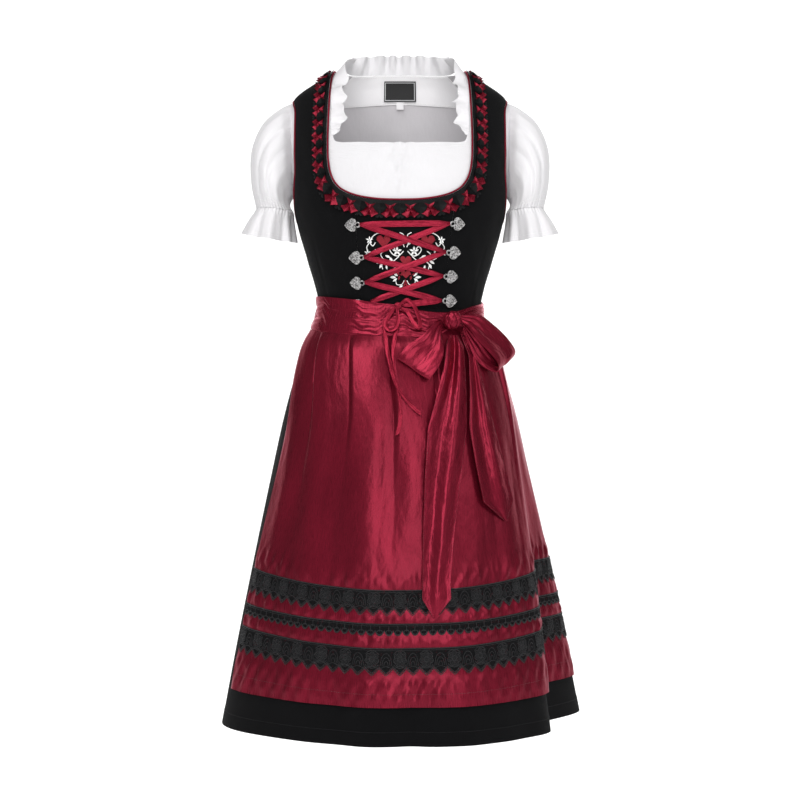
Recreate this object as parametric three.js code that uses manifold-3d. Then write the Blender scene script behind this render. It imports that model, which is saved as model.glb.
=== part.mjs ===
// A dirndl set in the shape it has when worn: a white puff-sleeved blouse, a black laced dress
// and a burgundy satin apron tied in a bow. Every piece of cloth is a hollow wall.
// Millimetres, Z up, the front faces -Y. The origin is midway between the two shoulder tops, so a
// height is written as a drop below the shoulders. Angles turn about Z in degrees: 0 is the front
// middle, 90 the +X side and 180 the back middle.
import * as THREE from "three";
import { mergeVertices } from "three/addons/utils/BufferGeometryUtils.js";
import Module from "manifold-3d";

const { clamp, lerp, degToRad } = THREE.MathUtils;

// Driving sizes.
const WAIST_DROP = 378; // seam between bodice and skirt
const HEM_DROP = 1035;
const DRESS_CLOTH = 1.5; // wall of the black cotton
const BLOUSE_INNER = -5; // the blouse lies under the dress
const BLOUSE_OUTER = -4;
const BLOUSE_BACK_LIFT = -4.4; // and its back a little deeper
const APRON_LIFT = 1.8; // apron's inner face over the skirt
const SATIN = 1.3; // wall of the apron's satin
const SEAM_ANGLE = 0.09; // half the gap at a seam between two panels
const PIPING_RADIUS = 1.5;
const TRIM_UNITS = 28; // pinches of the ribbon trim along the neckline, 14 to each shoulder
const TRIM_WIDTH = 24;
const RIBBON_WIDTH = 8.5; // lacing ribbon
const RIBBON_THICKNESS = 0.9;
const LACE_THICKNESS = 1;
const SLEEVE_GATHERS = 16;
const SCALLOP_DEPTH = 10;

// The dress's outer face: half width, depth before and behind the middle, and how square it is.
const FORM = [
  { drop: -24, half: 80, front: 24, back: 66, power: 2.4 },
  { drop: -15, half: 92, front: 32, back: 70, power: 2.4 },
  { drop: -5, half: 106, front: 44, back: 75, power: 2.4 },
  { drop: 10, half: 127, front: 56, back: 80, power: 2.4 },
  { drop: 38, half: 166, front: 74, back: 86, power: 2.4 },
  { drop: 60, half: 174, front: 85, back: 91, power: 2.4 },
  { drop: 120, half: 177, front: 105, back: 101, power: 2.4 },
  { drop: 180, half: 174, front: 119, back: 103, power: 2.4 },
  { drop: 240, half: 164, front: 125, back: 98, power: 2.4 },
  { drop: 300, half: 147, front: 116, back: 92, power: 2.4 },
  { drop: 345, half: 134, front: 105, back: 89, power: 2.4 },
  { drop: 378, half: 129, front: 100, back: 89, power: 2.4 },
  { drop: 413, half: 143, front: 110, back: 98, power: 2.35 },
  { drop: 446, half: 157, front: 123, back: 111, power: 2.3 },
  { drop: 528, half: 181, front: 140, back: 135, power: 2.2 },
  { drop: 627, half: 203, front: 153, back: 151, power: 2.1 },
  { drop: 776, half: 235, front: 166, back: 171, power: 2.05 },
  { drop: 904, half: 261, front: 176, back: 190, power: 2 },
  { drop: 1040, half: 287, front: 184, back: 206, power: 2 },
];

// Folds of the skirt: reach is how far each stands out or in at the hem; ease is how it grows.
const SKIRT_FOLDS = [
  { angle: -60, reach: -19, width: 20, from: 430, ease: 1 },
  { angle: -33, reach: -6, width: 11, from: 420, ease: 0.8 },
  { angle: -14, reach: 3, width: 9, from: 420, ease: 0.8 },
  { angle: 5, reach: -4, width: 8, from: 420, ease: 0.8 },
  { angle: 27, reach: 4, width: 10, from: 420, ease: 0.8 },
  { angle: 62, reach: -16, width: 16, from: 440, ease: 1 },
  { angle: 88, reach: -58, width: 13, from: 410, ease: 1.1 },
  { angle: 110, reach: 47, width: 11, from: 400, ease: 0.8 },
  { angle: 134, reach: -18, width: 9, from: 400, ease: 0.9 },
  { angle: 155, reach: 15, width: 9, from: 400, ease: 0.9 },
  { angle: 176, reach: -17, width: 9, from: 400, ease: 0.9 },
  { angle: 197, reach: 15, width: 9, from: 400, ease: 0.9 },
  { angle: 218, reach: -17, width: 9, from: 400, ease: 0.9 },
  { angle: 240, reach: 13, width: 9, from: 400, ease: 0.9 },
];

// The dress's front neckline from the shoulder seam to the front middle, and the back one.
const NECKLINE = [
  { step: 0, x: 106, drop: -5 },
  { step: 1, x: 111, drop: 14 },
  { step: 2, x: 113, drop: 45 },
  { step: 3, x: 114.5, drop: 85 },
  { step: 4, x: 115, drop: 125 },
  { step: 5, x: 113.5, drop: 155 },
  { step: 6, x: 108, drop: 178 },
  { step: 7, x: 97, drop: 195 },
  { step: 8, x: 80, drop: 206 },
  { step: 9, x: 58, drop: 213 },
  { step: 10, x: 30, drop: 217 },
  { step: 11, x: 0, drop: 218 },
];
const BACK_NECKLINE = [
  { step: 0, x: 106, drop: -5 },
  { step: 1, x: 108, drop: 14 },
  { step: 2, x: 104, drop: 36 },
  { step: 3, x: 92, drop: 56 },
  { step: 4, x: 70, drop: 70 },
  { step: 5, x: 38, drop: 78 },
  { step: 6, x: 0, drop: 80 },
];

// Length of one unit of the pinched ribbon trim along the neckline: shorter up the straps.
const TRIM_PITCH = [
  { step: 0, pitch: 22.5 },
  { step: 5, pitch: 22.5 },
  { step: 6.5, pitch: 28.5 },
  { step: 11, pitch: 28.5 },
];

// Armholes of the dress and of the blouse, as the angle of the front and the back edge.
const ARMHOLE = [
  { drop: 38, front: 90, back: 90 },
  { drop: 48, front: 82, back: 100 },
  { drop: 62, front: 77.5, back: 106 },
  { drop: 90, front: 74.8, back: 110 },
  { drop: 130, front: 72.8, back: 111 },
  { drop: 165, front: 72.2, back: 109 },
  { drop: 195, front: 76, back: 105 },
  { drop: 220, front: 81.5, back: 99 },
  { drop: 240, front: 90, back: 90 },
];
const BLOUSE_ARMHOLE = [
  { drop: 46, front: 90, back: 90 },
  { drop: 56, front: 83, back: 97 },
  { drop: 80, front: 79.5, back: 101 },
  { drop: 116, front: 78.5, back: 102 },
  { drop: 155, front: 80, back: 100 },
  { drop: 178, front: 84, back: 96 },
  { drop: 190, front: 90, back: 90 },
];

// The blouse's front neckline: down beside the straps, then straight across.
const BLOUSE_NECKLINE = [
  { step: 0, x: 99, drop: -10 },
  { step: 1, x: 102, drop: 10 },
  { step: 2, x: 104, drop: 40 },
  { step: 3, x: 105, drop: 80 },
  { step: 4, x: 104.5, drop: 112 },
  { step: 5, x: 95, drop: 121 },
  { step: 6, x: 64, drop: 122 },
  { step: 7, x: 32, drop: 123 },
  { step: 8, x: 0, drop: 123 },
];

// Rows of the panels: where a row starts at the neckline (step) or below it (inner drop), and
// the drop at which it reaches the armhole or the side seam.
const FRONT_ROWS = [
  { step: 0, outer: 38 },
  { step: 0.4, outer: 45 },
  { step: 1, outer: 57 },
  { step: 2, outer: 82 },
  { step: 3, outer: 114 },
  { step: 4, outer: 146 },
  { step: 5, outer: 174 },
  { step: 6, outer: 197 },
  { step: 7, outer: 219 },
  { step: "seam", outer: 240 },
  { inner: 226, outer: 252 },
  { inner: 252, outer: 270 },
  { inner: 280, outer: 292 },
  { inner: 310, outer: 317 },
  { inner: 342, outer: 345 },
  { inner: 362, outer: 363 },
  { inner: 378, outer: 378 },
];
const BACK_ROWS = [
  { step: 0, outer: 38 },
  { step: 0.5, outer: 46 },
  { step: 1, outer: 60 },
  { step: 2, outer: 88 },
  { step: 3, outer: 120 },
  { step: 4, outer: 155 },
  { step: 5, outer: 190 },
  { step: 6, outer: 217 },
  { inner: 125, outer: 240 },
  { inner: 180, outer: 262 },
  { inner: 235, outer: 288 },
  { inner: 285, outer: 316 },
  { inner: 328, outer: 340 },
  { inner: 358, outer: 361 },
  { inner: 378, outer: 378 },
];
const BLOUSE_FRONT_ROWS = [
  { step: 0, outer: 46 },
  { step: 1, outer: 60 },
  { step: 2, outer: 82 },
  { step: 3, outer: 108 },
  { step: 4, outer: 132 },
  { step: 5, outer: 150 },
  { step: 6, outer: 166 },
  { step: 7, outer: 179 },
  { step: 8, outer: 190 },
  { inner: 165, outer: 214 },
  { inner: 210, outer: 242 },
  { inner: 255, outer: 270 },
  { inner: 300, outer: 300 },
];
const BLOUSE_BACK_ROWS = [
  { middle: -15, side: -10 },
  { middle: 3, side: 18 },
  { middle: 32, side: 46 },
  { middle: 64, side: 80 },
  { middle: 100, side: 116 },
  { middle: 142, side: 155 },
  { middle: 186, side: 190 },
  { middle: 242, side: 242 },
  { middle: 300, side: 300 },
];

// The front panel between its two seams, which stands a little to the +X side.
const PANEL_SEAMS = {
  left: { step: 8.4, top: -71, waist: -60 },
  right: { step: 7.7, top: 85, waist: 66 },
};

// A sleeve's rings from the armhole to the elastic: its outer and inner point and half its depth.
const SLEEVE_RINGS = [
  { outX: 174, outDrop: 48, inX: 170, inDrop: 194, depth: 34, gather: 0.5 },
  { outX: 191, outDrop: 56, inX: 173, inDrop: 199, depth: 56, gather: 1.5 },
  { outX: 219, outDrop: 82, inX: 176, inDrop: 206, depth: 69, gather: 2 },
  { outX: 236, outDrop: 124, inX: 176, inDrop: 211, depth: 71, gather: 2 },
  { outX: 237, outDrop: 172, inX: 174, inDrop: 216, depth: 65, gather: 1.8 },
  { outX: 229, outDrop: 215, inX: 171, inDrop: 221, depth: 53, gather: 1 },
];
const CUFF_RINGS = [
  { outX: 229, outDrop: 215.6, inX: 171, inDrop: 221.6, depth: 53, gather: 1 },
  { outX: 240, outDrop: 233, inX: 170, inDrop: 241, depth: 59, gather: 4 },
  { outX: 250, outDrop: 254, inX: 167, inDrop: 268, depth: 66, gather: 7 },
];

// The collar ruffle from the back middle to its front end: seam place and lean of its free edge.
const COLLAR = [
  { along: 0, angle: 180, drop: -15.3, inward: 0, up: 34, forward: -2 },
  { along: 0.2, angle: 150, drop: -15, inward: 2, up: 34, forward: 0 },
  { along: 0.38, angle: 118, drop: -13.4, inward: 8, up: 31, forward: 0 },
  { along: 0.5, angle: 90, drop: -11.8, inward: 16, up: 21, forward: 2 },
  { along: 0.555, angle: 70.5, drop: 3, inward: 20, up: 14, forward: 5 },
  { along: 0.62, angle: 61.6, drop: 25, inward: 23, up: 8, forward: 7 },
  { along: 0.76, angle: 53.6, drop: 60, inward: 24, up: 2, forward: 7 },
  { along: 0.89, angle: 50.2, drop: 92, inward: 22, up: 1, forward: 6 },
  { along: 1, angle: 48.6, drop: 110, inward: 5, up: 2, forward: 2 },
];
const COLLAR_WAVES = 16;

// The satin waistband round the waist: its edges, and how far it stands off the dress.
const SASH = [
  { angle: -180, top: 352, bottom: 392, lift: 2 },
  { angle: -135, top: 352, bottom: 396, lift: 2 },
  { angle: -90, top: 354, bottom: 405, lift: 2 },
  { angle: -60, top: 359, bottom: 415, lift: 2.6 },
  { angle: -36, top: 365, bottom: 421, lift: 5.4 },
  { angle: -18, top: 371, bottom: 423, lift: 4 },
  { angle: 0, top: 375, bottom: 424, lift: 2.2 },
  { angle: 25, top: 385, bottom: 425, lift: 2 },
  { angle: 45, top: 384, bottom: 402, lift: 2 },
  { angle: 62, top: 374, bottom: 390, lift: 2 },
  { angle: 90, top: 364, bottom: 387, lift: 2 },
  { angle: 135, top: 353, bottom: 390, lift: 2 },
  { angle: 180, top: 352, bottom: 392, lift: 2 },
];
const SASH_WRINKLES = [
  { share: 0, raise: 0.2, thick: 1.2 },
  { share: 0.28, raise: 0.3, thick: 3 },
  { share: 0.52, raise: 0, thick: 1.6 },
  { share: 0.78, raise: 0, thick: 3.2 },
  { share: 1, raise: 0, thick: 1.3 },
];

// The apron's side edges, as the angle of each.
const APRON_SIDES = [
  { drop: 424, left: -79, right: 103 },
  { drop: 480, left: -75, right: 104 },
  { drop: 552, left: -72, right: 105 },
  { drop: 650, left: -75, right: 106.3 },
  { drop: 743, left: -78.5, right: 107.6 },
  { drop: 860, left: -80.5, right: 109.3 },
  { drop: 977, left: -82, right: 111 },
];
// The apron: rows below the band, how high its pleats stand and how much a line climbs to the side.
const APRON_ROWS = [
  { drop: 424, pleat: 0.2, climb: 0 },
  { drop: 438, pleat: 5, climb: 2 },
  { drop: 470, pleat: 7, climb: 6 },
  { drop: 530, pleat: 6, climb: 10 },
  { drop: 610, pleat: 4, climb: 16 },
  { drop: 705, pleat: 2.5, climb: 22 },
  { drop: 804.5, pleat: 1.4, climb: 26 },
  { drop: 842, pleat: 1.2, climb: 25 },
  { drop: 854, pleat: 1, climb: 18 },
  { drop: 871, pleat: 1, climb: 18 },
  { drop: 890, pleat: 1, climb: 19 },
  { drop: 930, pleat: 1, climb: 18 },
  { drop: 977, pleat: 1, climb: 3 },
];
const APRON_COLUMNS = 36;
const PLEAT_COLUMNS = 4;

// Lace bands on the apron: the rows each lies between, how deep its points hang and how many.
const LACES = [
  { name: "apron_lace_top", upper: 6, lower: 7, points: 36, deep: SCALLOP_DEPTH },
  { name: "apron_lace_middle", upper: 8, lower: 9, points: 54, deep: 4 },
  { name: "apron_lace_bottom", upper: 10, lower: 11, points: 36, deep: SCALLOP_DEPTH },
];

// Hooks of the lacing: the middle of each ring, with the heart pointing away from the front.
const HOOKS = [
  { name: "hook_left_1", x: -65, drop: 253, outward: -1, lift: 0.9 },
  { name: "hook_left_2", x: -59, drop: 302, outward: -1, lift: 0.9 },
  { name: "hook_left_3", x: -58, drop: 340, outward: -1, lift: 1.2 },
  { name: "hook_left_4", x: -57, drop: 375, outward: -1, lift: 2.6 },
  { name: "hook_right_1", x: 80, drop: 251, outward: 1, lift: 0.9 },
  { name: "hook_right_2", x: 74, drop: 294, outward: 1, lift: 0.9 },
  { name: "hook_right_3", x: 70, drop: 330, outward: 1, lift: 1 },
  { name: "hook_right_4", x: 68, drop: 367, outward: 1, lift: 2 },
];
// Each run of the lacing ribbon between two rings, with its lift at its ends and halfway.
const LACING_RUNS = [
  { x: -65, drop: 253, lift: 5.2, halfway: 1.6, toX: 80, toDrop: 251, toLift: 5.2 },
  { x: -65, drop: 253, lift: 5.2, halfway: 3.2, toX: 74, toDrop: 294, toLift: 5.2 },
  { x: 80, drop: 251, lift: 5.2, halfway: 1.6, toX: -59, toDrop: 302, toLift: 5.2 },
  { x: 74, drop: 294, lift: 5.2, halfway: 3.2, toX: -58, toDrop: 340, toLift: 5.5 },
  { x: -59, drop: 302, lift: 5.2, halfway: 1.6, toX: 70, toDrop: 330, toLift: 5.7 },
  { x: 70, drop: 330, lift: 5.7, halfway: 2, toX: -49, toDrop: 369, toLift: 4.2 },
  { x: -58, drop: 340, lift: 5.5, halfway: 3.6, toX: 68, toDrop: 367, toLift: 6 },
  { x: 68, drop: 367, lift: 6, halfway: 5, toX: 2, toDrop: 374, toLift: 6.4 },
];

// The apron's bow. Each rib of a loop runs from its near edge to its far edge.
const BOW_KNOT = { x: 80, drop: 398, y: -110.6, wide: 14, high: 16, deep: 10 };
const LEFT_LOOP = [
  { nearX: 63, nearDrop: 397, nearLift: 12, farX: 64, farDrop: 407, farLift: 12 },
  { nearX: 54, nearDrop: 401, nearLift: 19, farX: 63, farDrop: 422, farLift: 17 },
  { nearX: 35, nearDrop: 421, nearLift: 23, farX: 66, farDrop: 445, farLift: 22 },
  { nearX: 11, nearDrop: 438, nearLift: 22, farX: 60, farDrop: 466, farLift: 22 },
  { nearX: -2, nearDrop: 455, nearLift: 17, farX: 46, farDrop: 487, farLift: 18 },
  { nearX: -2, nearDrop: 456, nearLift: 12.3, farX: 45, farDrop: 488, farLift: 13 },
  { nearX: 12, nearDrop: 440, nearLift: 11, farX: 58, farDrop: 467, farLift: 11 },
  { nearX: 36, nearDrop: 422, nearLift: 10.9, farX: 63, farDrop: 445, farLift: 10.9 },
  { nearX: 54, nearDrop: 404, nearLift: 10.4, farX: 63, farDrop: 423, farLift: 10.4 },
  { nearX: 62, nearDrop: 398, nearLift: 5.8, farX: 63, farDrop: 408, farLift: 5.8 },
];
const RIGHT_LOOP = [
  { nearX: 93.3, nearY: -111, nearDrop: 400, farX: 92.6, farY: -103, farDrop: 389 },
  { nearX: 104, nearY: -115, nearDrop: 410, farX: 122, farY: -96, farDrop: 389 },
  { nearX: 118, nearY: -114, nearDrop: 428, farX: 145, farY: -80, farDrop: 404 },
  { nearX: 138, nearY: -108, nearDrop: 448, farX: 167, farY: -62, farDrop: 424 },
  { nearX: 149, nearY: -102, nearDrop: 462, farX: 181, farY: -48, farDrop: 444 },
  { nearX: 151, nearY: -98, nearDrop: 474, farX: 172, farY: -52, farDrop: 458 },
  { nearX: 144, nearY: -100, nearDrop: 477, farX: 160, farY: -74, farDrop: 456 },
  { nearX: 126, nearY: -110, nearDrop: 468, farX: 144, farY: -92, farDrop: 446 },
  { nearX: 111, nearY: -113, nearDrop: 449, farX: 127, farY: -102, farDrop: 424 },
  { nearX: 96.6, nearY: -108, nearDrop: 411, farX: 97.4, farY: -102, farDrop: 401 },
];
// The two hanging ends of the bow, by the places of their edges and their lift off the apron.
const LONG_TAIL = [
  { drop: 421, left: 74, right: 88, lift: 10, fold: 1 },
  { drop: 438, left: 70, right: 97, lift: 14, fold: 3.5 },
  { drop: 472, left: 66, right: 99, lift: 15.5, fold: 4.5 },
  { drop: 508, left: 57, right: 101, lift: 14.5, fold: 4 },
  { drop: 562, left: 42, right: 101, lift: 13.5, fold: 4 },
  { drop: 640, left: 37, right: 92, lift: 11.5, fold: 3.5 },
  { drop: 720, left: 34, right: 81, lift: 9.5, fold: 3 },
  { drop: 790, left: 33, right: 75, lift: 9, fold: 2 },
  { drop: 816, left: 33, right: 76, lift: 8.6, fold: 2 },
  { drop: 844, left: 50, right: 54, lift: 8, fold: 0 },
];
const SHORT_TAIL = [
  { drop: 416, left: 92, right: 97, lift: 5.9, fold: 0 },
  { drop: 452, left: 105, right: 117, lift: 11.5, fold: 0.6 },
  { drop: 502, left: 106, right: 129, lift: 12.5, fold: 2 },
  { drop: 562, left: 105, right: 145, lift: 12, fold: 2.5 },
  { drop: 620, left: 115, right: 161, lift: 11, fold: 3 },
  { drop: 674, left: 126, right: 174, lift: 9.5, fold: 2 },
  { drop: 705, left: 160, right: 164, lift: 8, fold: 0 },
];

// The small bow of the lacing ribbon and its two hanging ends.
const LACING_KNOT = { x: -3, drop: 375 };
const LACING_LOOPS = [
  [
    { x: -6, drop: 377, lift: 10 },
    { x: -15, drop: 388, lift: 12 },
    { x: -22, drop: 404, lift: 13 },
    { x: -16, drop: 414, lift: 13 },
    { x: -6, drop: 409, lift: 12 },
    { x: -3, drop: 396, lift: 11 },
    { x: -4, drop: 378, lift: 9 },
  ],
  [
    { x: 0, drop: 373, lift: 10 },
    { x: 11, drop: 367, lift: 12 },
    { x: 21, drop: 376, lift: 13 },
    { x: 29, drop: 394, lift: 13 },
    { x: 30, drop: 410, lift: 12 },
    { x: 22, drop: 404, lift: 10 },
    { x: 12, drop: 386, lift: 9 },
    { x: 0, drop: 378, lift: 8 },
  ],
];
const LACING_TAILS = {
  lacing_tail_left: [
    { x: -12, drop: 384, lift: 8.6 },
    { x: -23, drop: 404, lift: 9.6 },
    { x: -22, drop: 428, lift: 11.5 },
    { x: -16, drop: 461, lift: 13.2 },
    { x: -6, drop: 495, lift: 13.2 },
    { x: 8, drop: 518, lift: 12.6 },
    { x: 22, drop: 533, lift: 12 },
    { x: 31, drop: 540, lift: 12 },
  ],
  lacing_tail_right: [
    { x: -3, drop: 386, lift: 7 },
    { x: -6, drop: 412, lift: 8.4 },
    { x: -10, drop: 443, lift: 11 },
    { x: -6, drop: 480, lift: 11.2 },
    { x: 0, drop: 522, lift: 11 },
    { x: 0, drop: 553, lift: 10.4 },
    { x: -4, drop: 572, lift: 10.2 },
  ],
};

const wasm = await Module();
wasm.setup();

// Value of a column of a table between its rows, along a smooth curve.
function read(table, key, at, column) {
  const last = table.length - 1;
  let row = 0;
  while (row < last - 1 && at > table[row + 1][key]) row += 1;
  const slope = (place) => {
    const before = table[Math.max(place - 1, 0)];
    const after = table[Math.min(place + 1, last)];
    return (after[column] - before[column]) / (after[key] - before[key]);
  };
  const span = table[row + 1][key] - table[row][key];
  const share = clamp((at - table[row][key]) / span, 0, 1);
  const square = share * share;
  const cube = square * share;
  return (
    (2 * cube - 3 * square + 1) * table[row][column] +
    (cube - 2 * square + share) * span * slope(row) +
    (3 * square - 2 * cube) * table[row + 1][column] +
    (cube - square) * span * slope(row + 1)
  );
}

const turned = (angle) => ((((angle + 180) % 360) + 360) % 360) - 180;

// Distance of the dress's outer face from the middle line.
function reachAt(angle, drop) {
  const around = Math.abs(turned(angle));
  const half = read(FORM, "drop", drop, "half");
  const deep = read(FORM, "drop", drop, around > 90 ? "back" : "front");
  const power = read(FORM, "drop", drop, "power");
  const across = Math.abs(Math.sin(degToRad(around))) / half;
  const along = Math.abs(Math.cos(degToRad(around))) / deep;
  let reach = (across ** power + along ** power) ** (-1 / power);
  for (const fold of SKIRT_FOLDS) {
    if (drop <= fold.from) continue;
    const growth = ((drop - fold.from) / (HEM_DROP - fold.from)) ** fold.ease;
    const away = turned(angle - fold.angle) / fold.width;
    reach += fold.reach * growth * Math.exp(-away * away);
  }
  return reach;
}

function facePoint(angle, drop) {
  const reach = reachAt(angle, drop);
  const turn = degToRad(angle);
  return new THREE.Vector3(reach * Math.sin(turn), -reach * Math.cos(turn), -drop);
}

// A corner of a cloth wall: its point on the form, moved out by lift, and the way the form faces.
function skin(angle, drop, lift = 0) {
  const down = facePoint(angle, drop + 1).sub(facePoint(angle, drop - 1));
  const round = facePoint(angle + 0.5, drop).sub(facePoint(angle - 0.5, drop));
  const normal = down.cross(round).normalize();
  return { point: facePoint(angle, drop).addScaledVector(normal, lift), normal };
}

// Angle at which the form stands at a given distance to the side.
function angleAt(x, drop, back = false) {
  let low = 0;
  let high = 90;
  for (let pass = 0; pass < 40; pass += 1) {
    const middle = (low + high) / 2;
    const angle = back ? 180 - middle : middle;
    if (facePoint(Math.sign(x) * angle, drop).x * Math.sign(x) < Math.abs(x)) low = middle;
    else high = middle;
  }
  return Math.sign(x) * (back ? 180 - low : low);
}

// A corner lifted off the front of the form so that it ends at the given place seen from the front.
function frontSkin(x, drop, lift) {
  let [besideX, atDrop] = [x, drop];
  let corner = skin(besideX === 0 ? 0 : angleAt(besideX, atDrop), atDrop, lift);
  for (let pass = 0; pass < 4; pass += 1) {
    besideX -= corner.point.x - x;
    atDrop += corner.point.z + drop;
    corner = skin(besideX === 0 ? 0 : angleAt(besideX, atDrop), atDrop, lift);
  }
  return corner;
}

// Turns a closed mesh so that its faces look outwards.
function facingOut(geometry) {
  const place = geometry.getAttribute("position");
  const corners = geometry.index.array;
  const [a, b, c] = [new THREE.Vector3(), new THREE.Vector3(), new THREE.Vector3()];
  let volume = 0;
  for (let i = 0; i < corners.length; i += 3) {
    a.fromBufferAttribute(place, corners[i]);
    b.fromBufferAttribute(place, corners[i + 1]);
    c.fromBufferAttribute(place, corners[i + 2]);
    volume += a.dot(b.cross(c));
  }
  if (volume < 0) {
    for (let i = 0; i < corners.length; i += 3) {
      [corners[i + 1], corners[i + 2]] = [corners[i + 2], corners[i + 1]];
    }
  }
  return geometry;
}

function meshOf(points, faces) {
  const geometry = new THREE.BufferGeometry();
  const flat = points.flatMap((point) => point.toArray());
  geometry.setAttribute("position", new THREE.Float32BufferAttribute(flat, 3));
  geometry.setIndex(faces);
  return facingOut(geometry);
}

// Cells of a sheet of cloth, row by row; a closed sheet joins its last column to its first.
function grid(rowCount, columnCount, cornerAt, closed = false) {
  const corners = [];
  for (let row = 0; row <= rowCount; row += 1) {
    corners.push([]);
    for (let column = 0; column < columnCount + (closed ? 0 : 1); column += 1) {
      corners[row].push(cornerAt(row, column));
    }
  }
  const cells = [];
  for (let row = 0; row < rowCount; row += 1) {
    for (let column = 0; column < columnCount; column += 1) {
      const next = (column + 1) % corners[row].length;
      cells.push([
        corners[row][column],
        corners[row][next],
        corners[row + 1][next],
        corners[row + 1][column],
      ]);
    }
  }
  return cells;
}

// A closed wall of cloth over the cells: an inner face, an outer face and a rim at every free edge.
function wall(cells, inner, outer) {
  const places = new Map();
  const corners = [];
  const placeOf = (corner) => {
    const key = corner.point.toArray().map((value) => Math.round(value * 1000) || 0).join();
    if (!places.has(key)) {
      places.set(key, corners.length);
      corners.push(corner);
    }
    return places.get(key);
  };
  const loops = cells.map((cell) => cell.map(placeOf));
  const count = corners.length;
  const moved = (corner, lift) => corner.point.clone().addScaledVector(corner.normal, lift);
  const points = [
    ...corners.map((corner) => moved(corner, outer + (corner.thicker ?? 0))),
    ...corners.map((corner) => moved(corner, inner)),
  ];
  const faces = [];
  const edges = new Set(loops.flatMap((loop) => loop.map((a, i) => a + ">" + loop[(i + 1) % 4])));
  for (const loop of loops) {
    const [a, b, c, d] = loop;
    faces.push(a, b, c, a, c, d);
    faces.push(a + count, c + count, b + count, a + count, d + count, c + count);
    loop.forEach((from, i) => {
      const to = loop[(i + 1) % 4];
      if (edges.has(to + ">" + from)) return;
      faces.push(to, from, from + count, to, from + count, to + count);
    });
  }
  return meshOf(points, faces);
}

// A closed solid through rings of corners, each ring a loop with the same number of points.
function loft(rings) {
  const size = rings[0].length;
  const faces = [];
  for (let ring = 0; ring < rings.length - 1; ring += 1) {
    for (let i = 0; i < size; i += 1) {
      const a = ring * size + i;
      const b = ring * size + ((i + 1) % size);
      faces.push(a, b, b + size, a, b + size, a + size);
    }
  }
  const end = (rings.length - 1) * size;
  for (let i = 1; i < size - 1; i += 1) {
    faces.push(0, i + 1, i);
    faces.push(end, end + i, end + i + 1);
  }
  return meshOf(rings.flat(), faces);
}

// A flat ribbon through corners on a surface, each with the way its width runs.
function ribbon(stops, width, thickness) {
  return loft(
    stops.map(({ point, normal, side }) => {
      const out = normal.clone().multiplyScalar(thickness / 2);
      const half = side.clone().multiplyScalar(width / 2);
      return [
        point.clone().add(half).add(out),
        point.clone().sub(half).add(out),
        point.clone().sub(half).sub(out),
        point.clone().add(half).sub(out),
      ];
    }),
  );
}

// Direction in which a path through the stops runs at one of them.
function alongPath(stops, i) {
  const before = stops[Math.max(i - 1, 0)].point;
  const after = stops[Math.min(i + 1, stops.length - 1)].point;
  return after.clone().sub(before).normalize();
}

// Gives each stop of a path its side: across the path and along the surface.
function sided(stops) {
  return stops.map((stop, i) => ({
    ...stop,
    side: alongPath(stops, i).cross(stop.normal).normalize(),
  }));
}

// Joins closed solids that touch or cross into one.
function joined(geometries) {
  const solids = geometries.map((geometry) => {
    const merged = mergeVertices(geometry, 1e-4);
    return new wasm.Manifold(
      new wasm.Mesh({
        numProp: 3,
        vertProperties: merged.getAttribute("position").array,
        triVerts: new Uint32Array(merged.index.array),
      }),
    );
  });
  const mesh = wasm.Manifold.union(solids).getMesh();
  const geometry = new THREE.BufferGeometry();
  geometry.setAttribute("position", new THREE.BufferAttribute(mesh.vertProperties, 3));
  geometry.setIndex(new THREE.BufferAttribute(mesh.triVerts, 1));
  return geometry;
}

// Edges of a rib given by their lift off the front.
function liftedRib({ nearX, nearDrop, nearLift, farX, farDrop, farLift }) {
  const near = frontSkin(nearX, nearDrop, nearLift).point;
  const far = frontSkin(farX, farDrop, farLift).point;
  return { nearX: near.x, nearY: near.y, nearDrop: -near.z, farX: far.x, farY: far.y, farDrop: -far.z };
}

// A sheet between the near and far edges of the ribs of a bow's loop.
function loopSheet(ribs, rowCount, columnCount, thickness) {
  const last = ribs.length - 1;
  const numbered = ribs.map((rib, step) => ({ ...rib, step }));
  const pointAt = (row, column) => {
    const step = clamp((row / rowCount) * last, 0, last);
    const share = column / columnCount;
    const at = (name) => read(numbered, "step", step, name);
    const crown = 1.5 * Math.sin(share * Math.PI * 3) * Math.sin((step / last) * Math.PI);
    return new THREE.Vector3(
      lerp(at("nearX"), at("farX"), share),
      lerp(at("nearY"), at("farY"), share) - crown,
      -lerp(at("nearDrop"), at("farDrop"), share),
    );
  };
  const cells = grid(rowCount, columnCount, (row, column) => {
    const down = pointAt(Math.min(row + 0.2, rowCount), column);
    down.sub(pointAt(Math.max(row - 0.2, 0), column));
    const across = pointAt(row, column + 0.2).sub(pointAt(row, column - 0.2));
    return { point: pointAt(row, column), normal: across.cross(down).normalize() };
  });
  return wall(cells, -thickness / 2, thickness / 2);
}

// A hanging end of the bow, with soft folds down its length.
function hangingEnd(rows, columnCount, thickness) {
  const cells = grid(rows.length - 1, columnCount, (row, column) => {
    const { drop, left, right, lift, fold } = rows[row];
    const share = column / columnCount;
    const wave = fold * Math.sin(share * Math.PI * 3 + row * 0.35);
    return frontSkin(lerp(left, right, share), drop, lift + wave);
  });
  return wall(cells, -thickness / 2, thickness / 2);
}

const group = new THREE.Group();

function add(name, geometry, colour, roughness, metalness = 0) {
  const material = new THREE.MeshStandardMaterial({ color: colour, roughness, metalness });
  const mesh = new THREE.Mesh(geometry, material);
  mesh.name = name;
  group.add(mesh);
}

const BLACK_COTTON = 0x121214;
const BURGUNDY = 0x8a1428;
const WHITE_COTTON = 0xf4f3f1;
const BLACK_LACE = 0x09090b;
const SILVER = 0xc8c8cc;

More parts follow.
